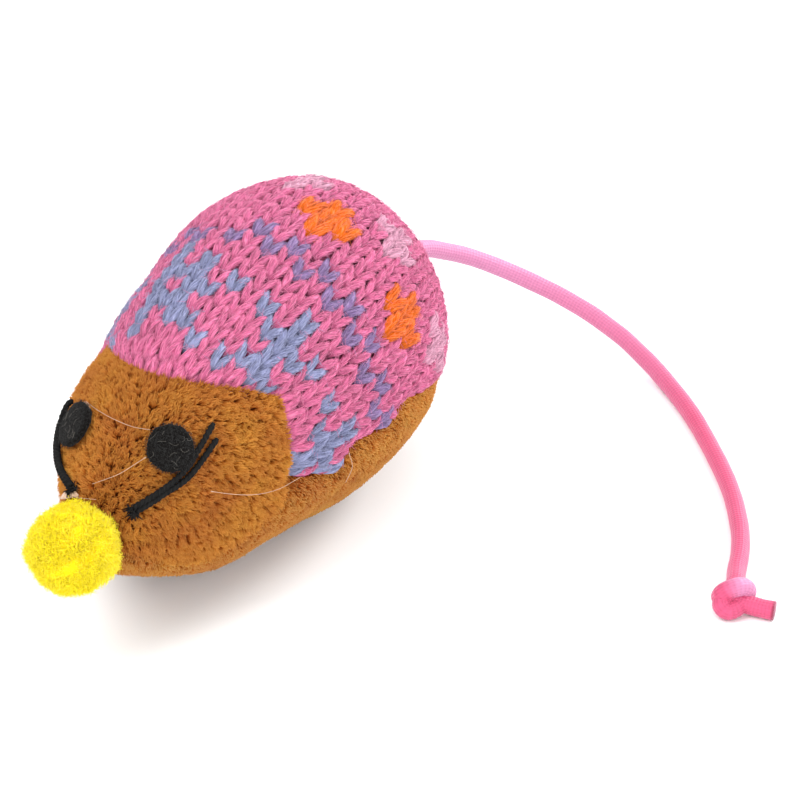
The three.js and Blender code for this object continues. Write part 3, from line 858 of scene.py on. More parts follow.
def cloth_finish(name, colour, scale):
    """Fabric under a pile or yarn: a fine mottle with a bump."""
    made = Finish(name, colour, roughness=0.95, Sheen_Weight=0.2, Specular_IOR_Level=0.1)
    mottle = made.noise(made.place(), scale, detail=4.0)
    made.paint(made.ramp(mottle, [(0.3, shaded(colour, 0.7)), (0.7, colour)]))
    made.bump(mottle, strength=0.5, distance=0.2 * MM)
    return made.material


def fibre_finish(name, root, tip, sheen, spread=0.13):
    """Loose fibre, shaded from root to tip, each fibre a little different."""
    made = Finish(
        name, tip, roughness=0.85, Specular_IOR_Level=0.2,
        Sheen_Weight=sheen, Sheen_Roughness=0.5, Sheen_Tint=opaque(paler(tip, 0.3)),
    )
    shade = made.ramp(made.attribute("along"), [(0.0, root), (0.8, tip)])
    made.paint(made.toned(shade, made.ranged(made.attribute("tint"), low=1 - spread, high=1 + spread)))
    return made.material


def thread_finish(name, colour, sheen):
    """Twisted thread with fine streaks along its plies."""
    made = Finish(
        name, colour, roughness=0.9, Specular_IOR_Level=0.08,
        Sheen_Weight=sheen, Sheen_Tint=opaque(paler(colour, 0.4)),
    )
    plies = made.stretched(made.attribute("lay", "Vector"), scale=(7, 7, 1.2))
    streaks = made.noise(plies, scale=1.0, detail=4.0, roughness=0.7)
    made.paint(made.ramp(streaks, [(0.3, shaded(colour, 0.5)), (0.7, paler(colour, 0.02))]))
    made.bump(streaks, strength=0.6, distance=0.06 * MM)
    return made.material


def satin_finish(name, gleam, stops):
    """Satin cord: fine crossing threads with a soft gleam, in colours that change along it, where the paler
    stops are a painted highlight.
    """
    made = Finish(
        name, stops[0][1], roughness=0.42, Specular_IOR_Level=0.6, Specular_Tint=opaque(gleam),
        Sheen_Weight=0.25, Sheen_Roughness=0.4, Sheen_Tint=opaque(gleam),
    )
    lay = made.attribute("lay", "Vector")
    drawn = made.stretched(lay, scale=(5.5, 5.5, 1.1))
    threads = made.noise(drawn, scale=1.0, roughness=0.65)
    weave = made.sum(made.braid(lay, ends=10, slope=5.2), threads)
    shade = made.ramp(made.attribute("along"), stops)
    made.paint(made.toned(shade, made.ranged(made.sum(weave, 0.5, "MULTIPLY"), low=0.74, high=1.26)))
    made.bump(weave, strength=0.8, distance=0.1 * MM)
    return made.material


def glue_finish(colour):
    """Clear hot-melt glue, faintly cloudy."""
    made = Finish("glue", colour, roughness=0.25, Transmission_Weight=0.35, Specular_IOR_Level=0.5)
    cloud = made.noise(made.place(), scale=900.0, detail=2.0)
    made.paint(made.ramp(cloud, [(0.3, shaded(colour, 0.9)), (0.7, colour)]))
    made.bump(cloud, strength=0.2, distance=0.05 * MM)
    return made.material


def felt_finish(colour):
    """Matted felt with a coarse nap."""
    made = Finish(
        "felt", colour, roughness=0.95, Specular_IOR_Level=0.05, Sheen_Weight=0.05, Sheen_Roughness=0.5,
    )
    mat = made.noise(made.place(), scale=2600.0, detail=4.0, roughness=0.75)
    made.paint(made.ramp(mat, [(0.3, shaded(colour, 0.5)), (0.62, colour), (0.85, paler(colour, 0.05))]))
    made.bump(mat, strength=0.8, distance=0.25 * MM)
    return made.material


# Pieces

def open_spread(rng, count, low, high):
    """Random numbers spread evenly between low and high."""
    return low + (high - low) * rng.random(count)


def nearest_of(leaders, places):
    """For each place, the number of the nearest leader and how far off it is."""
    tree = kdtree.KDTree(len(leaders))
    for number, leader in enumerate(leaders):
        tree.insert(leader, number)
    tree.balance()
    numbers, distances = zip(*[tree.find(place)[1:] for place in places])
    return np.array(numbers), np.array(distances)


def tuft_rows(rng, pitch, polar_range, angle_range):
    """Places of tufts in rows round the body, as polar angles and angles, each a little out of line."""
    samples = 400
    off_row = 0.16
    off_line = 0.2
    shoulder = sum(angle_range) / 2 + 0.6

    def spaced(low, high, at, offset):
        fine = np.linspace(low, high, samples)
        run = run_along(at(fine))
        return np.interp(np.arange(offset, max(run[-1], pitch), pitch), run, fine)

    polars, angles = [], []
    rows = spaced(*polar_range, lambda fine: plain_skin(fine, np.full(samples, shoulder)), 0)
    for number, polar in enumerate(rows):
        offset = number % 2 * pitch / 2
        row = spaced(*angle_range, lambda fine: plain_skin(np.full(samples, polar), fine), offset)
        polars.append(polar + rng.normal(0, off_row, len(row)) * pitch / HALF_LENGTH)
        angles.append(row + rng.normal(0, off_line, len(row)) * pitch / HALF_WIDTH)
    return np.concatenate(polars), np.concatenate(angles)


Pile = namedtuple("Pile", "root length width lean swing gather stray tuft crown rings")


def tufted(rng, pile, density, polar_range, angle_range, depth_in):
    """Pile on a panel: strands gathered into rounded tufts that lean their own way, upright at the seams."""
    seam_width = 1.5 * MM
    seam_lean = 0.3
    tuft_reach = 0.7 * pile.tuft
    elbow_rise = 0.75
    elbow_stray = 0.6
    elbow_gather = 0.3
    tip_width = 0.55
    tint_spread = 0.12

    def keep(places):
        return depth_in(places) > 0

    polar, angle = scatter(rng, density, polar_range, angle_range, keep)
    order = np.argsort(angle)
    polar = polar[order]
    angle = angle[order]
    count = len(polar)
    leaders = plain_skin(*tuft_rows(rng, pile.tuft, polar_range, angle_range))
    places, out, back, around = skin_frame(polar, angle)
    tuft, away = nearest_of(leaders, places)
    swing = (rng.normal(0, pile.swing, len(leaders))[tuft] - np.cos(angle))[:, None]
    comb = back * np.cos(swing) + around * np.sin(swing)
    inside = seam_lean + (1 - seam_lean) * smoothstep(0, seam_width, depth_in(places))
    crown = 1 - pile.crown * np.minimum(1, away / tuft_reach) ** 2
    height = open_spread(rng, len(leaders), 0.88, 1.12)[tuft] * open_spread(rng, count, 0.9, 1.06)
    rise = (pile.length * crown * height)[:, None]
    towards = (leaders[tuft] - places) * pile.gather

    def stray():
        wide = rng.normal(0, pile.stray, (2, count, 1))
        return back * wide[0] + around * wide[1]

    tip = out * rise + (comb * pile.lean * inside[:, None] + stray()) * rise + towards
    elbow = (out * elbow_rise + stray() * elbow_stray) * rise + towards * elbow_gather
    share = shares_along(pile.rings)
    root = skin(polar, angle, pile.root)[:, None]
    paths = root + 2 * share * (1 - share) * elbow[:, None] + share ** 2 * tip[:, None]
    taper = np.interp(share[0, :, 0], [0, 0.5, 1], [1, 1, tip_width])
    radii = pile.width / 2 * taper * open_spread(rng, count, 0.8, 1.2)[:, None]
    tuft_tint = rng.normal(MIDDLE_TINT, tint_spread, len(leaders))[tuft]
    tint = np.clip(tuft_tint + rng.normal(0, tint_spread, count), 0, 1)
    return swept(paths, radii, back[:, None], sides=3), tint


# Knitting: its columns and rows, the chart's repeat and places, and how full each yarn is
WALES = range(-14, 15)
COURSES = range(-2, 29)
REPEAT = 6
TRELLIS = {0: (3, 4, 5, 6, 7), 1: (3, 5), 2: (2, 6), 3: ()}
FAR_STEM = -3
FAR_STEM_COURSES = (2, 3, 4, 5, 6, 7, 8)
FAR_WALE = -2
FAR_COURSES = (4, 6)
ZIGZAG_ODD = (9, 22)
ZIGZAG_EVEN = (10, 23)
FLOWER_WALES = (-10, 2, 8)
FLOWER_COURSE = 13
BLOSSOM_COURSE = 16
PETALS = {(0, -1), (0, 0), (0, 1), (-1, 0), (1, 0)}
YARN_FULLNESS = {"ground": 0.96, "trellis": 1.04, "zigzag": 1.05, "flower": 1.42, "blossom": 1.2}


def knit_colour(wale, course):
    """The traditional chart: a trellis with stems, a zigzag, and two rows of small flowers."""
    step = (wale + 1) % REPEAT
    from_stem = min(step, REPEAT - step)
    if wale == FAR_WALE:
        return "trellis" if course in FAR_COURSES else "ground"
    if course in TRELLIS[from_stem] or (wale == FAR_STEM and course in FAR_STEM_COURSES):
        return "trellis"
    if course in (ZIGZAG_ODD if wale % 2 else ZIGZAG_EVEN):
        return "zigzag"
    from_flower = min((wale - flower for flower in FLOWER_WALES), key=abs)
    if (from_flower, course - FLOWER_COURSE) in PETALS:
        return "flower"
    half = REPEAT // 2
    from_node = (wale + 1 + half) % REPEAT - half
    if (from_node, course - BLOSSOM_COURSE) in PETALS:
        return "blossom"
    return "ground"


def crown_table():
    """Polar angles along the crown and the distance to each from the face seam."""
    samples = 4001
    polar = np.linspace(0, math.pi, samples)
    places = plain_skin(polar, np.full_like(polar, math.pi / 2))
    run = run_along(places)
    seam = np.interp(0, behind_face_seam(places), run)
    return polar, run - seam


def girth_table():
    """Angles from the crown down past the seam, each one's share of the way to the seam, and that way."""
    samples = 1201
    lowest = -0.4
    angle = np.linspace(math.pi / 2, lowest, samples)
    widest = polar_of(0.0)
    run = run_along(plain_skin(np.full_like(angle, widest), angle))
    whole = np.interp(0, -angle, run)
    return angle, run / whole, whole


# A leg of a stitch: rings, then places in wales and courses, and how much they vary from stitch to stitch
LEG_RINGS = 9
LEG_OFFSET = 0.27
LEG_FOOT = 0.105
LEG_SPLAY = 0.345
LEG_SPLAY_SPREAD = 0.035
LEG_MIDDLE = 0.42
LEG_LENGTH = 1.86
STITCH_SHIFT = 0.035
STITCH_SLIP = 0.07
WALE_SLIP = 0.06
WALE_WAVE = 1.7
COURSE_SHIFT = 0.07
COURSE_WAVES = (0.9, 0.4)
NARROWEST_WALE = 0.62

# A leg's height and arch in millimetres, its width at the ends, and where seams tuck it in
LEG_HEIGHT = -1.5
LEG_ARCH = 1.08
LEG_ARCH_START = 0.06
LEG_ARCH_SPAN = 0.9
LEG_HEIGHT_SPREAD = 0.07
LEG_END_WIDTH = 0.6
LEG_ROUNDING = 0.8
LEG_ROUND_SPAN = 1.02
LEG_WIDTH_SPREAD = 0.06
LEG_NARROWEST = 0.3
FULL_YARN_LIFT = 0.5
TUCK_DEPTH = 1.2 * MM
TUCK_START = -0.6 * MM
TUCK_HIDES = -0.8 * MM


def stitch_legs(rng, knit):
    """Paths, radii, directions out and colours of the legs of every stitch of the knitted back."""
    crown_polar, crown_run = crown_table()
    girth_angle, girth_share, half_girth = girth_table()
    share = np.linspace(0, 1, LEG_RINGS)
    wale, course = (grid.ravel() for grid in np.meshgrid(WALES, COURSES, indexing="ij"))
    colour = np.array([knit_colour(w, c) for w, c in zip(wale, course)])
    fullness = np.array([YARN_FULLNESS[name] for name in colour])[:, None]
    count = len(wale)
    arch = (LEG_HEIGHT + LEG_ARCH * np.sin(math.pi * (LEG_ARCH_START + LEG_ARCH_SPAN * share))) * MM
    rounding = np.sin(math.pi * np.clip(share * LEG_ROUND_SPAN, 0, 1)) ** LEG_ROUNDING
    radius = knit.yarn / 2 * (LEG_END_WIDTH + (1 - LEG_END_WIDTH) * rounding)
    slip_of_wale = WALE_SLIP * np.sin(wale * WALE_WAVE)[:, None]
    over_course, over_wale = COURSE_WAVES
    shift_of_course = COURSE_SHIFT * np.sin(course * over_course + wale * over_wale)[:, None]
    legs = []
    shift = rng.normal(0, STITCH_SHIFT, count)
    slip = rng.normal(0, STITCH_SLIP, count)
    for side in (-1, 1):
        splay = rng.normal(LEG_SPLAY, LEG_SPLAY_SPREAD, count)[:, None]
        sideways = side * (LEG_FOOT + splay * smoothstep(0, 1, share)[None]) + shift[:, None]
        forwards = LEG_MIDDLE + LEG_LENGTH * (share[None] - 0.5) * np.maximum(1, fullness) + slip[:, None]
        run = (course[:, None] + forwards + slip_of_wale) * knit.course
        polar = np.interp(run, crown_run, crown_polar)
        narrowing = swell(polar, WIDTH_SWELL) / WIDTH_PEAK
        along_girth = (wale[:, None] + LEG_OFFSET + sideways + shift_of_course) * knit.wale / half_girth
        along_girth = along_girth * np.maximum(1, NARROWEST_WALE / np.maximum(narrowing, 1e-3))
        turn = np.interp(np.abs(along_girth), girth_share, girth_angle)
        angle = np.where(along_girth > 0, turn, math.pi - turn)
        beyond = np.abs(along_girth).max(axis=1) > girth_share[-1]
        uneven = rng.normal(0, LEG_HEIGHT_SPREAD, count)[:, None] + FULL_YARN_LIFT * (fullness - 1)
        height = arch[None] + uneven * MM
        smooth, out, _, _ = skin_frame(polar, angle)
        inside = np.minimum(behind_face_seam(smooth), above_belly_seam(smooth))
        tuck = TUCK_DEPTH * (1 - smoothstep(TUCK_START, TUCK_DEPTH, inside))
        paths = skin(polar, angle, height - tuck)
        thickness = (1 + rng.normal(0, LEG_WIDTH_SPREAD, count))[:, None]
        radii = radius * fullness * thickness * np.sqrt(narrowing.clip(LEG_NARROWEST, 1))
        shown = (inside[:, LEG_RINGS // 2] > TUCK_HIDES) & ~beyond & (run[:, -1] < crown_run[-1])
        legs.append((paths[shown], radii[shown], out[shown], colour[shown]))
    return [np.concatenate(parts) for parts in zip(*legs)]


def fuzz_bundle(rng, paths, radii, out, each, length, width):
    """Loose fibres that stand off yarn."""
    widest_turn = 1.3
    sunk = 0.85
    stand = 0.5
    droop = 0.35
    drift = 0.8
    taper = np.array([1, 1, 0.8, 0.4])
    pick = np.repeat(np.arange(len(paths)), each)
    count = len(pick)
    ring = rng.integers(1, paths.shape[1] - 1, count)
    ahead = unit(paths[pick, ring + 1] - paths[pick, ring - 1])
    normal = out[pick, ring]
    across = np.cross(ahead, normal)
    turn = rng.uniform(-widest_turn, widest_turn, count)[:, None]
    outward = normal * np.cos(turn) + across * np.sin(turn)
    root = paths[pick, ring] + outward * radii[pick, ring][:, None] * sunk
    bend = unit(ahead * rng.normal(0, 1, count)[:, None] + across * rng.normal(0, 1, count)[:, None])
    reach = (length * open_spread(rng, count, 0.4, 1.3))[:, None, None]
    share = shares_along(len(taper))
    rise = stand * (share - droop * share ** 2)
    strands = root[:, None] + reach * (outward[:, None] * rise + bend[:, None] * share * drift)
    rings = swept(strands, width / 2 * taper, across[:, None, :], sides=3)
    return rings, rng.uniform(0.6, 1, count)


def lain_bundle(rng, paths, radii, out, each, width):
    """Fibres that lie along yarn, slant round it, and lift off a little at their ends."""
    clear = 1.04
    flattened = 0.9
    taper = np.array([0.4, 1, 1, 1, 0.4])
    pick = np.repeat(np.arange(len(paths)), each)
    count = len(pick)
    rings = paths.shape[1]
    share = np.linspace(0, 1, len(taper))
    start = open_spread(rng, count, 0.05, 0.55)[:, None]
    along = (start + share * open_spread(rng, count, 0.25, 0.42)[:, None]) * (rings - 1)
    ring = np.minimum(along.astype(int), rings - 2)
    part = (along - ring)[..., None]

    def between(values):
        return values[pick[:, None], ring] * (1 - part) + values[pick[:, None], ring + 1] * part

    middle = between(paths)
    normal = unit(between(out))
    across = unit(np.cross(unit(np.gradient(middle, axis=1)), normal))
    slant = rng.normal(0.5, 0.3, count)[:, None]
    turn = (rng.uniform(-1.5, 1.2, count)[:, None] + share * slant)[..., None]
    lift = (open_spread(rng, count, 0, 0.5)[:, None] * share ** 3)[..., None]
    reach = between(radii[..., None]) * (clear + lift)
    strands = middle + reach * (across * np.sin(turn) + normal * np.cos(turn) * flattened)
    thin = width / 2 * taper * open_spread(rng, count, 0.7, 1.3)[:, None]
    return swept(strands, thin, normal, sides=3), rng.random(count)


def clear_of_seams(bundle):
    """The strands of a bundle that do not reach into the face or the belly."""
    margin = 0.7 * MM
    rings, tint = bundle
    middles = rings.mean(axis=2)
    inside = np.minimum(behind_face_seam(middles), above_belly_seam(middles)).min(axis=1)
    clear = inside > margin
    return rings[clear], tint[clear]


class MOUSE_OT_stage(bpy.types.Operator):
    """Camera, soft lamps and a pale floor"""

    bl_idname = "mouse.stage"
    bl_label = "Stage"

    def execute(self, context):
        scene = context.scene
        stage = scene.mouse_stage
        scene.view_settings.view_transform = "Standard"
        self.camera(scene, stage)
        for name, (place, size, power) in LAMPS.items():
            self.lamp(scene, name, place, size, power)
        self.floor(scene, stage)
        self.world(scene)
        return {"FINISHED"}

    def camera(self, scene, stage):
        camera = bpy.data.cameras.new("camera")
        camera.sensor_width = SENSOR_WIDTH
        camera.lens = stage.lens
        camera.clip_start = NEAREST_SEEN
        camera.clip_end = FARTHEST_SEEN
        made = bpy.data.objects.new("camera", camera)
        scene.collection.objects.link(made)
        made.location = stage.camera_place
        towards = Vector(stage.camera_target) - Vector(stage.camera_place)
        aim = towards.to_track_quat("-Z", "Y") @ Quaternion((0, 0, 1), stage.camera_roll)
        made.rotation_euler = aim.to_euler()
        scene.camera = made

    def lamp(self, scene, name, place, size, power):
        light = bpy.data.lights.new(name, "AREA")
        light.shape = "DISK"
        light.size = size
        light.energy = power
        made = bpy.data.objects.new(name, light)
        scene.collection.objects.link(made)
        made.location = place
        towards = LAMP_TARGET - Vector(place)
        made.rotation_euler = towards.to_track_quat("-Z", "Y").to_euler()

    def floor(self, scene, stage):
        reach = FLOOR_REACH
        corners = [(-reach, -reach, 0), (reach, -reach, 0), (reach, reach, 0), (-reach, reach, 0)]
        mesh = bpy.data.meshes.new("floor")
        mesh.from_pydata(corners, [], [(0, 1, 2, 3)])
        mesh.materials.append(Finish("floor", stage.floor, roughness=0.95, Specular_IOR_Level=0.1).material)
        made = bpy.data.objects.new("floor", mesh)
        scene.collection.objects.link(made)

    def world(self, scene):
        world = bpy.data.worlds.new("studio")
        world.use_nodes = True
        background = world.node_tree.nodes["Background"]
        background.inputs["Color"].default_value = (1, 1, 1, 1)
        background.inputs["Strength"].default_value = WORLD_STRENGTH
        scene.world = world


class MOUSE_OT_tail(bpy.types.Operator):
    """Satin cord tail with its overhand knot and sealed end"""

    bl_idname = "mouse.tail"
    bl_label = "Tail"

    def execute(self, context):
        tail = context.scene.mouse_tail
        # Painted highlight: the cord pales towards the body, the root is pale all along, and a pale band runs
        # over the top of the knot.
        highlit_towards_root = [(0.0, tail.highlit_satin), (0.2, tail.highlit_satin), (0.6, tail.satin)]
        plain = [(0.0, tail.highlit_satin), (1.0, tail.highlit_satin)]
        band = [(0.42, tail.satin), (0.5, tail.highlit_satin), (0.66, tail.highlit_satin), (0.76, tail.satin)]
        melted = [(0.93, tail.satin), (0.98, tail.sealed)]
        cord_rings = 420
        root_rings = 40
        knot_rings = 160
        end_rings = 48
        inside = 3 * MM
        lift = np.array(JOINTS["tail_lift"])
        swing = np.array(JOINTS["tail_swing"])
        leave = np.array((0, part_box("tail_root")[0].y, SEAM_HEIGHT))
        join = (lift + swing) / 2
        laid_out = [lift * (1, 1, 0) + np.array(point) * MM for point in TAIL_ROUTE]
        path = smooth_route([join, lift, *laid_out, self.in_knot([KNOT_MIDDLE])[0]], cord_rings)
        cord = self.cord("satin_tail", path, satin_finish("satin", tail.gleam, highlit_towards_root), None)
        root_path = smooth_route([leave - (0, inside, 0), leave, swing, join], root_rings)
        root = self.cord("satin_tail_root", root_path, satin_finish("satin_root", tail.gleam, plain), None)
        knot_path = smooth_route(self.in_knot(KNOT_ROUTE), knot_rings)
        knot = self.cord("satin_knot", knot_path, satin_finish("satin_knot", tail.gleam, band), "tail")
        end_path = smooth_route(self.in_knot(END_ROUTE), end_rings)
        end = self.cord("satin_end", end_path, satin_finish("satin_end", tail.gleam, melted), "tail")
        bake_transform(root)
        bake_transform(cord)
        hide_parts("tail_root")
        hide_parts("tail_cord")
        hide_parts("tail_knot")
        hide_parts("tail_end")
        length = np.linalg.norm(np.diff(path, axis=0), axis=1).sum()
        return {"FINISHED"}

    def cord(self, name, path, material, body):
        """A length of the cord, a little uneven, riding on a body unless body is None."""
        sides = 24
        uneven_by = 0.008
        short_wave = 0.31
        long_wave = 0.13
        ring = np.linspace(0, 1, len(path)) * len(path)
        uneven = 1 + uneven_by * np.sin(ring * short_wave) + uneven_by * np.sin(ring * long_wave + 1)
        radii = TAIL_DIAMETER / 2 * SATIN_FULLNESS * uneven
        up = carried(path, (0, 0, 1))
        return strand_object(name, [tube(path, radii, up, sides)], material, body)

    def in_knot(self, route):
        """A route given from the knot's middle, sideways, away and up from the floor."""
        low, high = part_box("tail_knot")
        middle = np.array(((low.x + high.x) / 2, (low.y + high.y) / 2, 0))
        return middle + np.array(route) @ np.array(KNOT_AXES) * MM


class MOUSE_OT_knit_back(bpy.types.Operator):
    """Knitted back: every stitch two legs of yarn over a backing, with loose fibres"""

    bl_idname = "mouse.knit_back"
    bl_label = "Knitted back"

    def execute(self, context):
        knit = context.scene.mouse_knit
        tint_spread = 0.2
        rng = np.random.default_rng(SEEDS["knit"])
        self.backing(knit)
        paths, radii, out, colours = stitch_legs(rng, knit)
        for name in YARN_FULLNESS:
            chosen = colours == name
            yarn = paths[chosen], radii[chosen], out[chosen]
            colour = getattr(knit, name)
            legs = swept(*yarn, sides=12, lobes=3, lobe_depth=0.13, twist=2.4, flat=0.88)
            tint = np.clip(rng.normal(MIDDLE_TINT, tint_spread, chosen.sum()), 0, 1)
            material = yarn_finish("yarn_" + name, colour)
            strand_object("yarn_" + name, [(legs, tint)], material)
            # Painted light on the loose fibres: the lying fibres are darker at their roots, as painted shade,
            # and both kinds grow lighter towards their tips, as painted sheen.
            lighter = shaded(colour, 1.12)
            darker = shaded(colour, 0.9)
            spun = fibre_finish("spun_" + name, darker, paler(lighter, 0.05), sheen=0.1, spread=0.45)
            fibres = lain_bundle(rng, *yarn, each=22, width=0.1 * MM)
            strand_objects("spun_" + name, fibres, spun)
            haze = fibre_finish("haze_" + name, colour, paler(lighter, 0.1), sheen=0.12)
            fuzz = fuzz_bundle(rng, *yarn, each=24, length=1.5 * MM, width=0.05 * MM)
            strand_objects("haze_" + name, clear_of_seams(fuzz), haze)
        return {"FINISHED"}

    def backing(self, knit):
        rows = 61
        columns = 73
        turn = np.linspace(0, math.pi, columns)
        seam = face_seam_polar(turn)
        polar = seam + (math.pi - seam) * np.linspace(0, 1, rows)[:, None]
        depths = (1.3 * MM, 2.1 * MM)
        # The backing is the ground yarn made a little darker: painted shade in the gaps between the stitches.
        material = cloth_finish("knit_backing", shaded(knit.ground, 0.85), scale=1500.0)
        panel("knit_backing", polar, above_seam(polar, turn), depths, material, "knit_back")


class MOUSE_OT_plush(bpy.types.Operator):
    """Plush face and belly: fabric with a pile that gathers in tufts"""

    bl_idname = "mouse.plush"
    bl_label = "Plush face and belly"

    def execute(self, context):
        plush = context.scene.mouse_plush
        # The face fabric takes the pile's root colour, painted shade where it shows between the tufts.
        self.face_fabric(cloth_finish("face_fabric", plush.root, scale=900.0))
        self.belly_fabric(cloth_finish("belly_fabric", plush.middle, scale=900.0))
        self.face_pile(plush)
        self.belly_pile(plush)
        return {"FINISHED"}

    def face_fabric(self, fabric):
        rows = 41
        columns = 61
        turn = np.linspace(0, math.pi, columns)
        polar = face_seam_polar(turn) * np.linspace(0, 1, rows)[:, None]
        depths = (1.4 * MM, 1.9 * MM)
        panel("plush_face", polar, above_seam(polar, turn), depths, fabric, "face_panel")

    def belly_fabric(self, fabric):
        rows = 121
        columns = 61
        polar = np.broadcast_to(np.linspace(0, math.pi, rows)[:, None], (rows, columns))
        high = belly_seam_angle(polar)
        angle = -math.pi - high + (math.pi + 2 * high) * np.linspace(0, 1, columns)
        panel("plush_belly", polar, angle, (1.0 * MM, 1.6 * MM), fabric, "belly_panel")

    def face_pile(self, plush):
        rng = np.random.default_rng(SEEDS["face"])
        density = 50 / MM ** 2
        overlap = 0.1 * MM
        past_seam = 0.52
        material = pile_finish("face_pile", plush.root, plush.middle, plush.tip)
        pile = Pile(root=-1.5 * MM, length=plush.face_pile, width=0.1 * MM, lean=0.5, swing=0.6, gather=0.2,
                    stray=0.13, tuft=0.76 * MM, crown=0.4, rings=3)

        def depth_in(places):
            return np.minimum(-behind_face_seam(places), above_belly_seam(places) + overlap)

        bundle = tufted(rng, pile, density, (0.05, 1.5), (-past_seam, math.pi + past_seam), depth_in)
        strand_objects("face_pile", bundle, material)

    def belly_pile(self, plush):
        side_density = 18 / MM ** 2
        under_density = 6 / MM ** 2
        overlap = 0.1 * MM
        pole = 0.05
        low = -math.radians(65)
        high = math.radians(10)
        # The belly pile is darker at its roots: painted shade deep in the pile.
        material = pile_finish("belly_pile", shaded(plush.middle, 0.75), plush.middle, plush.belly)
        pile = Pile(root=-1.0 * MM, length=plush.belly_pile, width=0.15 * MM, lean=0.6, swing=0.5, gather=0.0,
                    stray=0.2, tuft=0.9 * MM, crown=0.04, rings=3)
        bands = {
            "belly_pile_left": (side_density, (low, high)),
            "belly_pile_right": (side_density, (-math.pi - high, -math.pi - low)),
            "belly_pile_under": (under_density, (-math.pi - low, low)),
        }

        def depth_in(places):
            return overlap - above_belly_seam(places)

        for number, (name, (density, angle_range)) in enumerate(bands.items()):
            rng = np.random.default_rng(SEEDS["belly"] + number)
            bundle = tufted(rng, pile, density, (pole, math.pi - pole), angle_range, depth_in)
            strand_objects(name, bundle, material)


class MOUSE_OT_pompom(bpy.types.Operator):
    """Pompom nose: a lumpy core under cut fluff"""

    bl_idname = "mouse.pompom"
    bl_label = "Pompom nose"

    def execute(self, context):
        trim = context.scene.mouse_trim
        rng = np.random.default_rng(SEEDS["pompom"])
        low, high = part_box("nose_pompom")
        radius = (high.x - low.x) / 2
        centre = np.array((0, low.y + radius, (low.z + high.z) / 2))
        self.core(trim, centre, radius)
        fluff = fibre_finish("pompom_fluff", trim.pompom_shade, trim.pompom, sheen=0.5, spread=0.07)
        self.fluff(rng, centre, radius, fluff)
        return {"FINISHED"}

    def core(self, trim, centre, radius):
        """The lumpy ball that the fibres stand on."""
        rings = 40
        sides = 60
        pole = 0.02
        share = 0.85
        lump = 0.03
        polar = np.linspace(pole, math.pi - pole, rings)[:, None]
        turn = np.arange(sides)[None, :] * TAU / sides
        level = np.cos(polar) * np.ones_like(turn)
        spokes = np.stack([np.sin(polar) * np.cos(turn), np.sin(polar) * np.sin(turn), level], axis=-1)
        lumps = 1 + lump * np.sin(7 * polar + 2 * turn) + lump * np.sin(5 * turn + 9 * polar)
        core = centre + self.settled(spokes * (radius * share * lumps)[..., None])
        material = fibre_finish("pompom_core", trim.pompom_shade, trim.pompom_shade, sheen=0.3)
        made = strand_object("pompom_core", [even(core[None, :, ::-1])], material)
        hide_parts("nose_pompom")

    def settled(self, offsets):
        """Offsets from the middle, a little flatter below it."""
        low = 0.9
        height = offsets[..., 2:]
        return np.concatenate([offsets[..., :2], np.where(height < 0, height * low, height)], axis=-1)

    def fluff(self, rng, centre, radius, material):
        """Cut fibres that bend aside and gather in soft clumps."""
        count = 24000
        clumps = 420
        gather = 0.25
        root_share = 0.76
        aside_share = 0.16
        lump = 0.03
        first_wave = np.array((3.1, 4.0, -2.2))
        second_wave = np.array((-4.4, 3.0, 5.1))
        taper = np.array([0.065, 0.06, 0.05, 0.022])
        aloft = (0, 0, 0.5)
        off_spoke = 0.03
        clump_share = 0.94
        clump_spread = 0.022
        fibre_share = 0.965
        fibre_spread = 0.05
        shortest = 0.84
        longest = 1.08
        clump_tint_spread = 0.12
        fibre_tint_spread = 0.1
        spoke = unit(self.spread_round(count) + rng.normal(0, off_spoke, (count, 3)))
        leaders = self.spread_round(clumps)
        clump, _ = nearest_of(leaders, spoke)
        gathered = unit(spoke + (leaders[clump] - spoke) * gather)
        start = radius * root_share
        clump_reach = rng.normal(clump_share, clump_spread, clumps)[clump]
        uneven = 1 + lump * np.sin(spoke @ first_wave + 1) + lump * np.sin(spoke @ second_wave)
        fibre_reach = np.clip(rng.normal(fibre_share, fibre_spread, count), shortest, longest)
        ends = radius * uneven * clump_reach * fibre_reach
        root = spoke * start

        def wander():
            aside = np.cross(spoke, unit(rng.normal(0, 1, (count, 3))))
            return aside * radius * aside_share

        elbow = spoke * ((start + ends * 2) / 3)[:, None] + wander()
        tip = gathered * ends[:, None] + wander()
        share = shares_along(len(taper))
        bow = 2 * share * (1 - share) * elbow[:, None]
        paths = centre + self.settled((1 - share) ** 2 * root[:, None] + bow + share ** 2 * tip[:, None])
        radii = taper * MM * open_spread(rng, count, 0.8, 1.2)[:, None]
        clump_tint = rng.normal(MIDDLE_TINT, clump_tint_spread, clumps)[clump]
        tint = np.clip(clump_tint + rng.normal(0, fibre_tint_spread, count), 0, 1)
        strands = swept(paths, radii, np.cross(spoke, leaders[clump] + aloft)[:, None], sides=3)
        strand_objects("pompom_fluff", (strands, tint), material)

    def spread_round(self, count):
        """Directions spread evenly over a ball."""
        index = np.arange(count) + 0.5
        height = 1 - 2 * index / count
        spin = index * math.pi * (3 - math.sqrt(5))
        level = np.sqrt(1 - height ** 2)
        return np.stack([level * np.cos(spin), level * np.sin(spin), height], axis=-1)


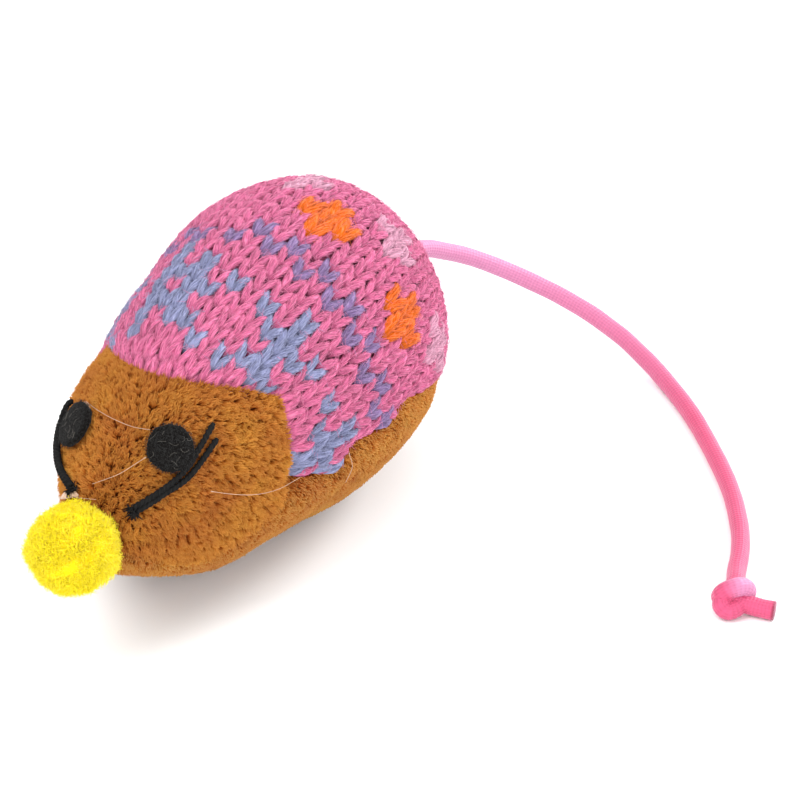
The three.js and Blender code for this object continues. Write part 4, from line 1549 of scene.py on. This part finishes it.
class MOUSE_OT_felt_eyes(bpy.types.Operator):
    """Felt eyes with matted edges"""

    bl_idname = "mouse.felt_eyes"
    bl_label = "Felt eyes"

    def execute(self, context):
        trim = context.scene.mouse_trim
        felt = felt_finish(trim.felt)
        fuzz = fibre_finish("felt_fuzz", trim.felt, paler(trim.felt, 0.02), sheen=0.05)
        lint = fibre_finish("felt_lint", trim.lint, trim.lint, sheen=0.1)
        for number, (name, side) in enumerate(SIDES.items()):
            station, degrees, tilt = EYES[name]
            rng = np.random.default_rng(SEEDS["eyes"] + number)
            polar = polar_of(station)
            angle = on_side(degrees, side)
            self.disc(name, polar, angle, tilt * side, felt, rng)
            self.fuzz(name, polar, angle, tilt * side, fuzz, rng)
            self.lint(name, polar, angle, tilt * side, lint, rng)
        return {"FINISHED"}

    def disc(self, name, polar, angle, tilt, felt, rng):
        """The cut disc, as rings from the middle of its top over the edge to the middle of its base."""
        profile = [
            (0.03, EYE_TOP), (0.3, EYE_TOP), (0.6, EYE_TOP - 0.02 * MM), (0.85, EYE_TOP - 0.05 * MM),
            (0.96, EYE_TOP - 0.16 * MM), (1.0, EYE_TOP - 0.4 * MM), (1.0, EYE_BASE + 0.3 * MM),
            (0.97, EYE_BASE + 0.06 * MM), (0.85, EYE_BASE), (0.03, EYE_BASE),
        ]
        sides = 64
        edge = 0.9
        middle = 0.2
        wave = 0.05 * MM
        broad_notch = 0.012
        fine_notch = 0.01
        turn = np.arange(sides) * TAU / sides
        notched = broad_notch * rng.normal(0, 1, sides)
        ragged = 1 + broad_notch * np.sin(5 * turn + 1) + fine_notch * np.sin(11 * turn) + notched
        rings = []
        for reach, lift in profile:
            cut = ragged if reach > edge else 1.0
            place = self.around_eye(polar, angle, EYE_RADIUS * reach * cut, turn)
            uneven = wave * np.sin(3 * turn + 9 * reach) + tilt * EYE_RADIUS * reach * np.sin(turn)
            rings.append(skin(*place, lift) if reach < middle else skin(*place, lift + uneven))
        bundle = even(np.array(rings)[None, :, ::-1])
        made = strand_object("felt_eye_" + name, [bundle], felt)
        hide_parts("eye_" + name)

    def fuzz(self, name, polar, angle, tilt, material, rng):
        """Short fibres over the top, which stand out round the edge."""
        count = 1800
        steps = 3
        overhang = 1.02
        edge_depth = 0.9 * MM
        sunk = 0.05 * MM
        outwards = 1.5
        droop = 0.15
        width = 0.028 * MM
        reach = EYE_RADIUS * np.sqrt(rng.random(count)) * overhang
        spin = rng.random(count) * TAU
        place = self.around_eye(polar, angle, reach, spin)
        _, out, back, around = skin_frame(*place)
        edge = smoothstep(0.8, 1.0, reach / EYE_RADIUS)
        leaning = tilt * reach * np.sin(spin)
        root = skin(*place, EYE_TOP - edge * rng.random(count) * edge_depth - sunk + leaning)
        way = unit(back * rng.normal(0, 1, count)[:, None] + around * rng.normal(0, 1, count)[:, None])
        outward = unit(root - skin(polar, angle, (EYE_BASE + EYE_TOP) / 2))
        way = unit(way + outward * edge[:, None] * outwards + out * rng.uniform(0.1, 0.55, count)[:, None])
        share = shares_along(steps)
        length = open_spread(rng, count, 0.2, 0.55)[:, None, None] * MM
        paths = root[:, None] + way[:, None] * length * share - out[:, None] * length * droop * share ** 2
        strands = swept(paths, width, back[:, None], sides=3)
        strand_object("felt_fuzz_" + name, [(strands, rng.random(count))], material)

    def lint(self, name, polar, angle, tilt, material, rng):
        """A few pale fibres caught on the felt."""
        count = 12
        steps = 8
        curl_spread = 1.6
        farthest = EYE_RADIUS * 0.96
        clear = 0.06 * MM
        width = 0.022 * MM
        share = np.linspace(0, 1, steps)
        spin = rng.random(count) * TAU
        reach = EYE_RADIUS * open_spread(rng, count, 0.3, 0.9)
        way = rng.random(count) * TAU
        curl = rng.normal(0, curl_spread, count)[:, None] * share
        length = open_spread(rng, count, 0.5, 1.4)[:, None] * MM * share
        across = (reach * np.cos(spin))[:, None] + length * np.cos(way[:, None] + curl)
        along = (reach * np.sin(spin))[:, None] + length * np.sin(way[:, None] + curl)
        far = np.minimum(np.hypot(across, along), farthest).ravel()
        turn = np.arctan2(along, across).ravel()
        place = self.around_eye(polar, angle, far, turn)
        paths = skin(*place, EYE_TOP + clear + tilt * far * np.sin(turn)).reshape(count, steps, 3)
        strands = swept(paths, width, (0.3, 0.2, 1.0), sides=3)
        strand_object("felt_lint_" + name, [(strands, rng.random(count))], material)

    def around_eye(self, polar, angle, reach, turn):
        """Skin places at a distance and direction from the eye's middle."""
        along, around = skin_slopes(polar, angle, step=1e-3)
        first = unit(along)
        second = unit(np.cross(np.cross(along, around), along))
        offset = np.outer(reach * np.cos(turn), first) + np.outer(reach * np.sin(turn), second)
        shares = np.linalg.lstsq(np.stack([along, around], axis=-1), offset.T, rcond=None)[0]
        return polar + shares[0], angle + shares[1]


class MOUSE_OT_whiskers(bpy.types.Operator):
    """Twisted thread whiskers with frayed roots"""

    bl_idname = "mouse.whiskers"
    bl_label = "Whiskers"

    def execute(self, context):
        thread = thread_finish("whisker_thread", context.scene.mouse_trim.thread, sheen=0.0)
        for side_name, side in SIDES.items():
            for level in WHISKER_LIFT:
                self.whisker(side_name, side, level, thread)
            self.root(side_name, side, thread)
        return {"FINISHED"}

    def whisker(self, side_name, side, level, thread):
        rng = np.random.default_rng(SEEDS["whiskers"])
        rings = 90
        turns = 22
        thickness = 0.45 * MM
        tip = np.array([0.43, 0.38, 0.3]) * MM
        path, up = laid(WHISKER_ROUTES[level, side_name], side, WHISKER_LIFT[level], rings)
        radii = np.full(rings, thickness)
        radii[-len(tip):] = tip
        twisted = tube(path, radii, up, sides=16, lobes=2, lobe_depth=0.12, twist=turns * math.pi)
        yarn = path[None], radii[None], up[None]
        fuzz = fuzz_bundle(rng, *yarn, each=110, length=0.6 * MM, width=0.035 * MM)
        name = level + "_" + side_name
        body = "whiskers_" + side_name
        made = strand_object("thread_" + name, [twisted, fuzz], thread, body)
        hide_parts("whisker_" + name)

    def root(self, side_name, side, thread):
        """Frayed ends that lie over the face at the front of the whiskers."""
        rng = np.random.default_rng(SEEDS["roots"])
        count = 90
        droop = 0.25
        taper = np.array([0.14, 0.12, 0.1, 0.08, 0.03]) * MM
        station, degrees = WHISKER_ROOTS[side_name]
        polar = polar_of(station)
        angle = np.array(on_side(degrees, side))
        smooth, out, back, around = skin_frame(polar, angle)
        centre = smooth + out * WHISKER_LIFT["lower"]
        forwards = back * rng.normal(-0.3, 0.5, count)[:, None]
        downwards = around * rng.normal(-0.35 * side, 0.6, count)[:, None]
        way = unit(forwards + downwards + out * rng.uniform(-0.2, 0.4, count)[:, None])
        share = shares_along(len(taper))
        length = open_spread(rng, count, 0.5, 1.5)[:, None, None] * MM
        along_roots = centre + around * rng.uniform(-0.7, 0.7, (count, 1)) * MM
        start = along_roots + rng.normal(0, 0.15, (count, 3)) * MM
        paths = start[:, None] + way[:, None] * length * share - out * length * droop * share ** 2
        strands = swept(paths, taper, out, sides=4)
        bundle = (strands, rng.random(count))
        made = strand_object("thread_root_" + side_name, [bundle], thread)
        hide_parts("whisker_root_" + side_name)


class MOUSE_OT_glue(bpy.types.Operator):
    """Strings and a smear of glue across the face, and the pads behind the nose and eyes"""

    bl_idname = "mouse.glue"
    bl_label = "Glue"

    def execute(self, context):
        glue = glue_finish(context.scene.mouse_trim.glue)
        rings = 60
        lift = 0.45 * MM
        thickness = 0.045 * MM
        drop = np.array([0.1, 0.08, 0.06, 0.05]) * MM
        bundles = []
        for string in GLUE_STRINGS:
            path, up = laid(string, SIDES["left"], lift, rings)
            radii = np.full(rings, thickness)
            radii[:len(drop)] = drop
            bundles.append(tube(path, radii, up, sides=6))
        bundles.append(self.smear())
        strand_object("glue_strings", bundles, glue)
        for name in ("nose_glue", "eye_glue_left", "eye_glue_right"):
            node = frame["nodes"][name]
            node.data.materials.clear()
            node.data.materials.append(glue)
        return {"FINISHED"}

    def smear(self):
        """A flat smear above the nose."""
        rings = 40
        lift = 0.4 * MM
        path, up = laid(GLUE_SMEAR, SIDES["left"], lift, rings)
        radii = np.interp(np.linspace(0, 1, rings), [0, 0.3, 0.75, 1], [0.15, 0.55, 0.65, 0.2]) * MM
        return tube(path, radii, up, sides=16, flat=0.45)


class MOUSE_OT_seams(bpy.types.Operator):
    """Sewing thread of the face seam and the belly seam, as rows of stitches"""

    bl_idname = "mouse.seams"
    bl_label = "Seams"

    def execute(self, context):
        thread = thread_finish("sewing_thread", context.scene.mouse_trim.sewing, sheen=0.3)
        depth = 1.7 * MM
        samples = 300
        angle = np.radians(np.linspace(5, 175, samples))
        face = skin(face_seam_polar(angle), angle, -depth)
        self.stitches("face_seam_stitches", face, thread, "face_seam_thread")
        turn = np.radians(np.linspace(12, 348, 2 * samples))
        polar = math.pi - np.where(turn < math.pi, turn, TAU - turn)
        seam = belly_seam_angle(polar)
        around = skin(polar, np.where(turn < math.pi, seam, math.pi - seam), -depth)
        self.stitches("belly_seam_stitches", around, thread, "belly_seam_thread")
        return {"FINISHED"}

    def stitches(self, name, line, thread, node):
        pitch = 2.6 * MM
        steps = 8
        every = 4
        thickness = 0.24 * MM
        upwards = np.array((0, 0, 0.25 * MM))
        run = np.linalg.norm(np.diff(line, axis=0), axis=1).sum()
        count = int(run / pitch)
        path = smooth_route(line[::every], count * steps + 1)
        index = np.arange(count)[:, None] * steps + np.arange(steps + 1)[None]
        dip = np.sin(np.linspace(0, math.pi, steps + 1))
        paths = path[index] + upwards * dip[None, :, None]
        radii = thickness * (0.7 + 0.3 * dip)[None]
        strands = swept(paths, radii, (0.1, 0.2, 1.0), sides=8, lobes=2, lobe_depth=0.15, twist=9.0)
        made = strand_object(name, [even(strands)], thread)
        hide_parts(node)


class MOUSE_OT_filling(bpy.types.Operator):
    """What the body holds: fibre, catnip leaves and the tail's inner knot"""

    bl_idname = "mouse.filling"
    bl_label = "Filling"

    def execute(self, context):
        trim = context.scene.mouse_trim
        self.fibre(trim)
        self.leaves(trim)
        self.inner_knot(context.scene.mouse_tail)
        return {"FINISHED"}

    def fibre(self, trim):
        """Curled fibres in a layer under the skin."""
        rng = np.random.default_rng(SEEDS["fibre"])
        count = 1300
        steps = 12
        farthest = 0.8
        width = 0.1 * MM
        polar = np.arccos(rng.uniform(-farthest, farthest, count))
        angle = rng.uniform(-math.pi, math.pi, count)
        centre = skin(polar, angle, -open_spread(rng, count, 5, 8.5) * MM)
        first = unit(rng.normal(0, 1, (count, 3)))
        second = np.cross(first, unit(rng.normal(0, 1, (count, 3))))
        share = shares_along(steps)
        sweep = share * open_spread(rng, count, 3, 7)[:, None, None]
        curl = (open_spread(rng, count, 1.2, 2.6) * MM)[:, None, None]
        paths = centre[:, None] + curl * (first[:, None] * np.cos(sweep) + second[:, None] * np.sin(sweep))
        bundle = (swept(paths, width, np.cross(first, second)[:, None], sides=4), rng.random(count))
        material = fibre_finish("fibre_fill", shaded(trim.fibre, 0.85), trim.fibre, sheen=0.4)
        made = strand_object("fibre_fill", [bundle], material)
        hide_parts("stuffing")

    def leaves(self, trim):
        """Dried leaves in the middle of the fibre."""
        rng = np.random.default_rng(SEEDS["leaves"])
        count = 1400
        packed = 0.88
        curled = 0.3
        widths = np.array([0.08, 0.5, 0.62, 0.45, 0.06]) * MM
        low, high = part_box("catnip_filling")
        centre = np.array((low + high) / 2)
        half = np.array((high - low) / 2)
        inside = unit(rng.normal(0, 1, (count, 3))) * rng.random((count, 1)) ** (1 / 3) * packed
        way = unit(rng.normal(0, 1, (count, 3)))
        curl = np.cross(way, unit(rng.normal(0, 1, (count, 3))))
        share = np.linspace(-1, 1, len(widths))[None, :, None]
        length = (open_spread(rng, count, 0.6, 1.5) * MM)[:, None, None]
        bowed = way[:, None] * share + curl[:, None] * curled * share ** 2
        paths = (centre + inside * half)[:, None] + length * bowed
        bundle = (swept(paths, widths, curl[:, None], sides=6, flat=0.18), rng.random(count))
        material = fibre_finish("catnip", shaded(trim.leaf, 0.6), trim.leaf, sheen=0.1)
        made = strand_object("catnip_leaves", [bundle], material)
        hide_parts("catnip_filling")

    def inner_knot(self, tail):
        """A knot in the cord behind the rear seam."""
        rings = 180
        thickness = 1.1 * MM
        stub_length = 2 * MM
        samples = 120
        kept = slice(8, -4, 5)
        low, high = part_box("tail_anchor")
        radius = (high.x - low.x) / 2
        centre = np.array((0, low.y + radius, SEAM_HEIGHT))
        turn = np.linspace(math.pi, 3 * math.pi, samples)
        scale = (radius - thickness) / 3
        across = (np.cos(turn) - 2 * np.cos(2 * turn)) * scale
        upwards = (np.sin(turn) + 2 * np.sin(2 * turn)) * scale
        knot = centre + np.stack([across, -np.sin(3 * turn) * MM, upwards], axis=-1)
        stub = np.array([(0, high.y, SEAM_HEIGHT), (0, high.y - stub_length, SEAM_HEIGHT)])
        path = smooth_route(np.concatenate([stub, knot[kept]]), rings)
        cord = tube(path, thickness, carried(path, (1, 0, 0)), sides=16)
        material = satin_finish("satin_inside", tail.gleam, [(0, tail.highlit_satin), (1, tail.highlit_satin)])
        made = strand_object("inner_knot", [cord], material)
        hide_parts("tail_anchor")


class MOUSE_PT_panel(bpy.types.Panel):
    """The pieces of the mouse"""

    bl_idname = "MOUSE_PT_panel"
    bl_label = "Catnip Mouse"
    bl_space_type = "VIEW_3D"
    bl_region_type = "UI"
    bl_category = "Mouse"

    def draw(self, context):
        for operator in OPERATORS:
            self.layout.operator(operator.bl_idname)


SETTINGS = {
    "mouse_knit": MouseKnit,
    "mouse_plush": MousePlush,
    "mouse_trim": MouseTrim,
    "mouse_tail": MouseTail,
    "mouse_stage": MouseStage,
}
OPERATORS = (
    MOUSE_OT_stage,
    MOUSE_OT_tail,
    MOUSE_OT_knit_back,
    MOUSE_OT_plush,
    MOUSE_OT_pompom,
    MOUSE_OT_felt_eyes,
    MOUSE_OT_whiskers,
    MOUSE_OT_glue,
    MOUSE_OT_seams,
    MOUSE_OT_filling,
)
CLASSES = (*SETTINGS.values(), *OPERATORS, MOUSE_PT_panel)


def register():
    for each in CLASSES:
        bpy.utils.register_class(each)
    for name, group in SETTINGS.items():
        setattr(bpy.types.Scene, name, bpy.props.PointerProperty(type=group))


def unregister():
    for name in SETTINGS:
        delattr(bpy.types.Scene, name)
    for each in reversed(CLASSES):
        bpy.utils.unregister_class(each)


def main():
    register()
    bpy.ops.mouse.stage()
    bpy.ops.mouse.tail()
    bpy.ops.mouse.knit_back()
    bpy.ops.mouse.plush()
    bpy.ops.mouse.pompom()
    bpy.ops.mouse.felt_eyes()
    bpy.ops.mouse.whiskers()
    bpy.ops.mouse.glue()
    bpy.ops.mouse.seams()
    bpy.ops.mouse.filling()


if __name__ == "__main__":
    main()
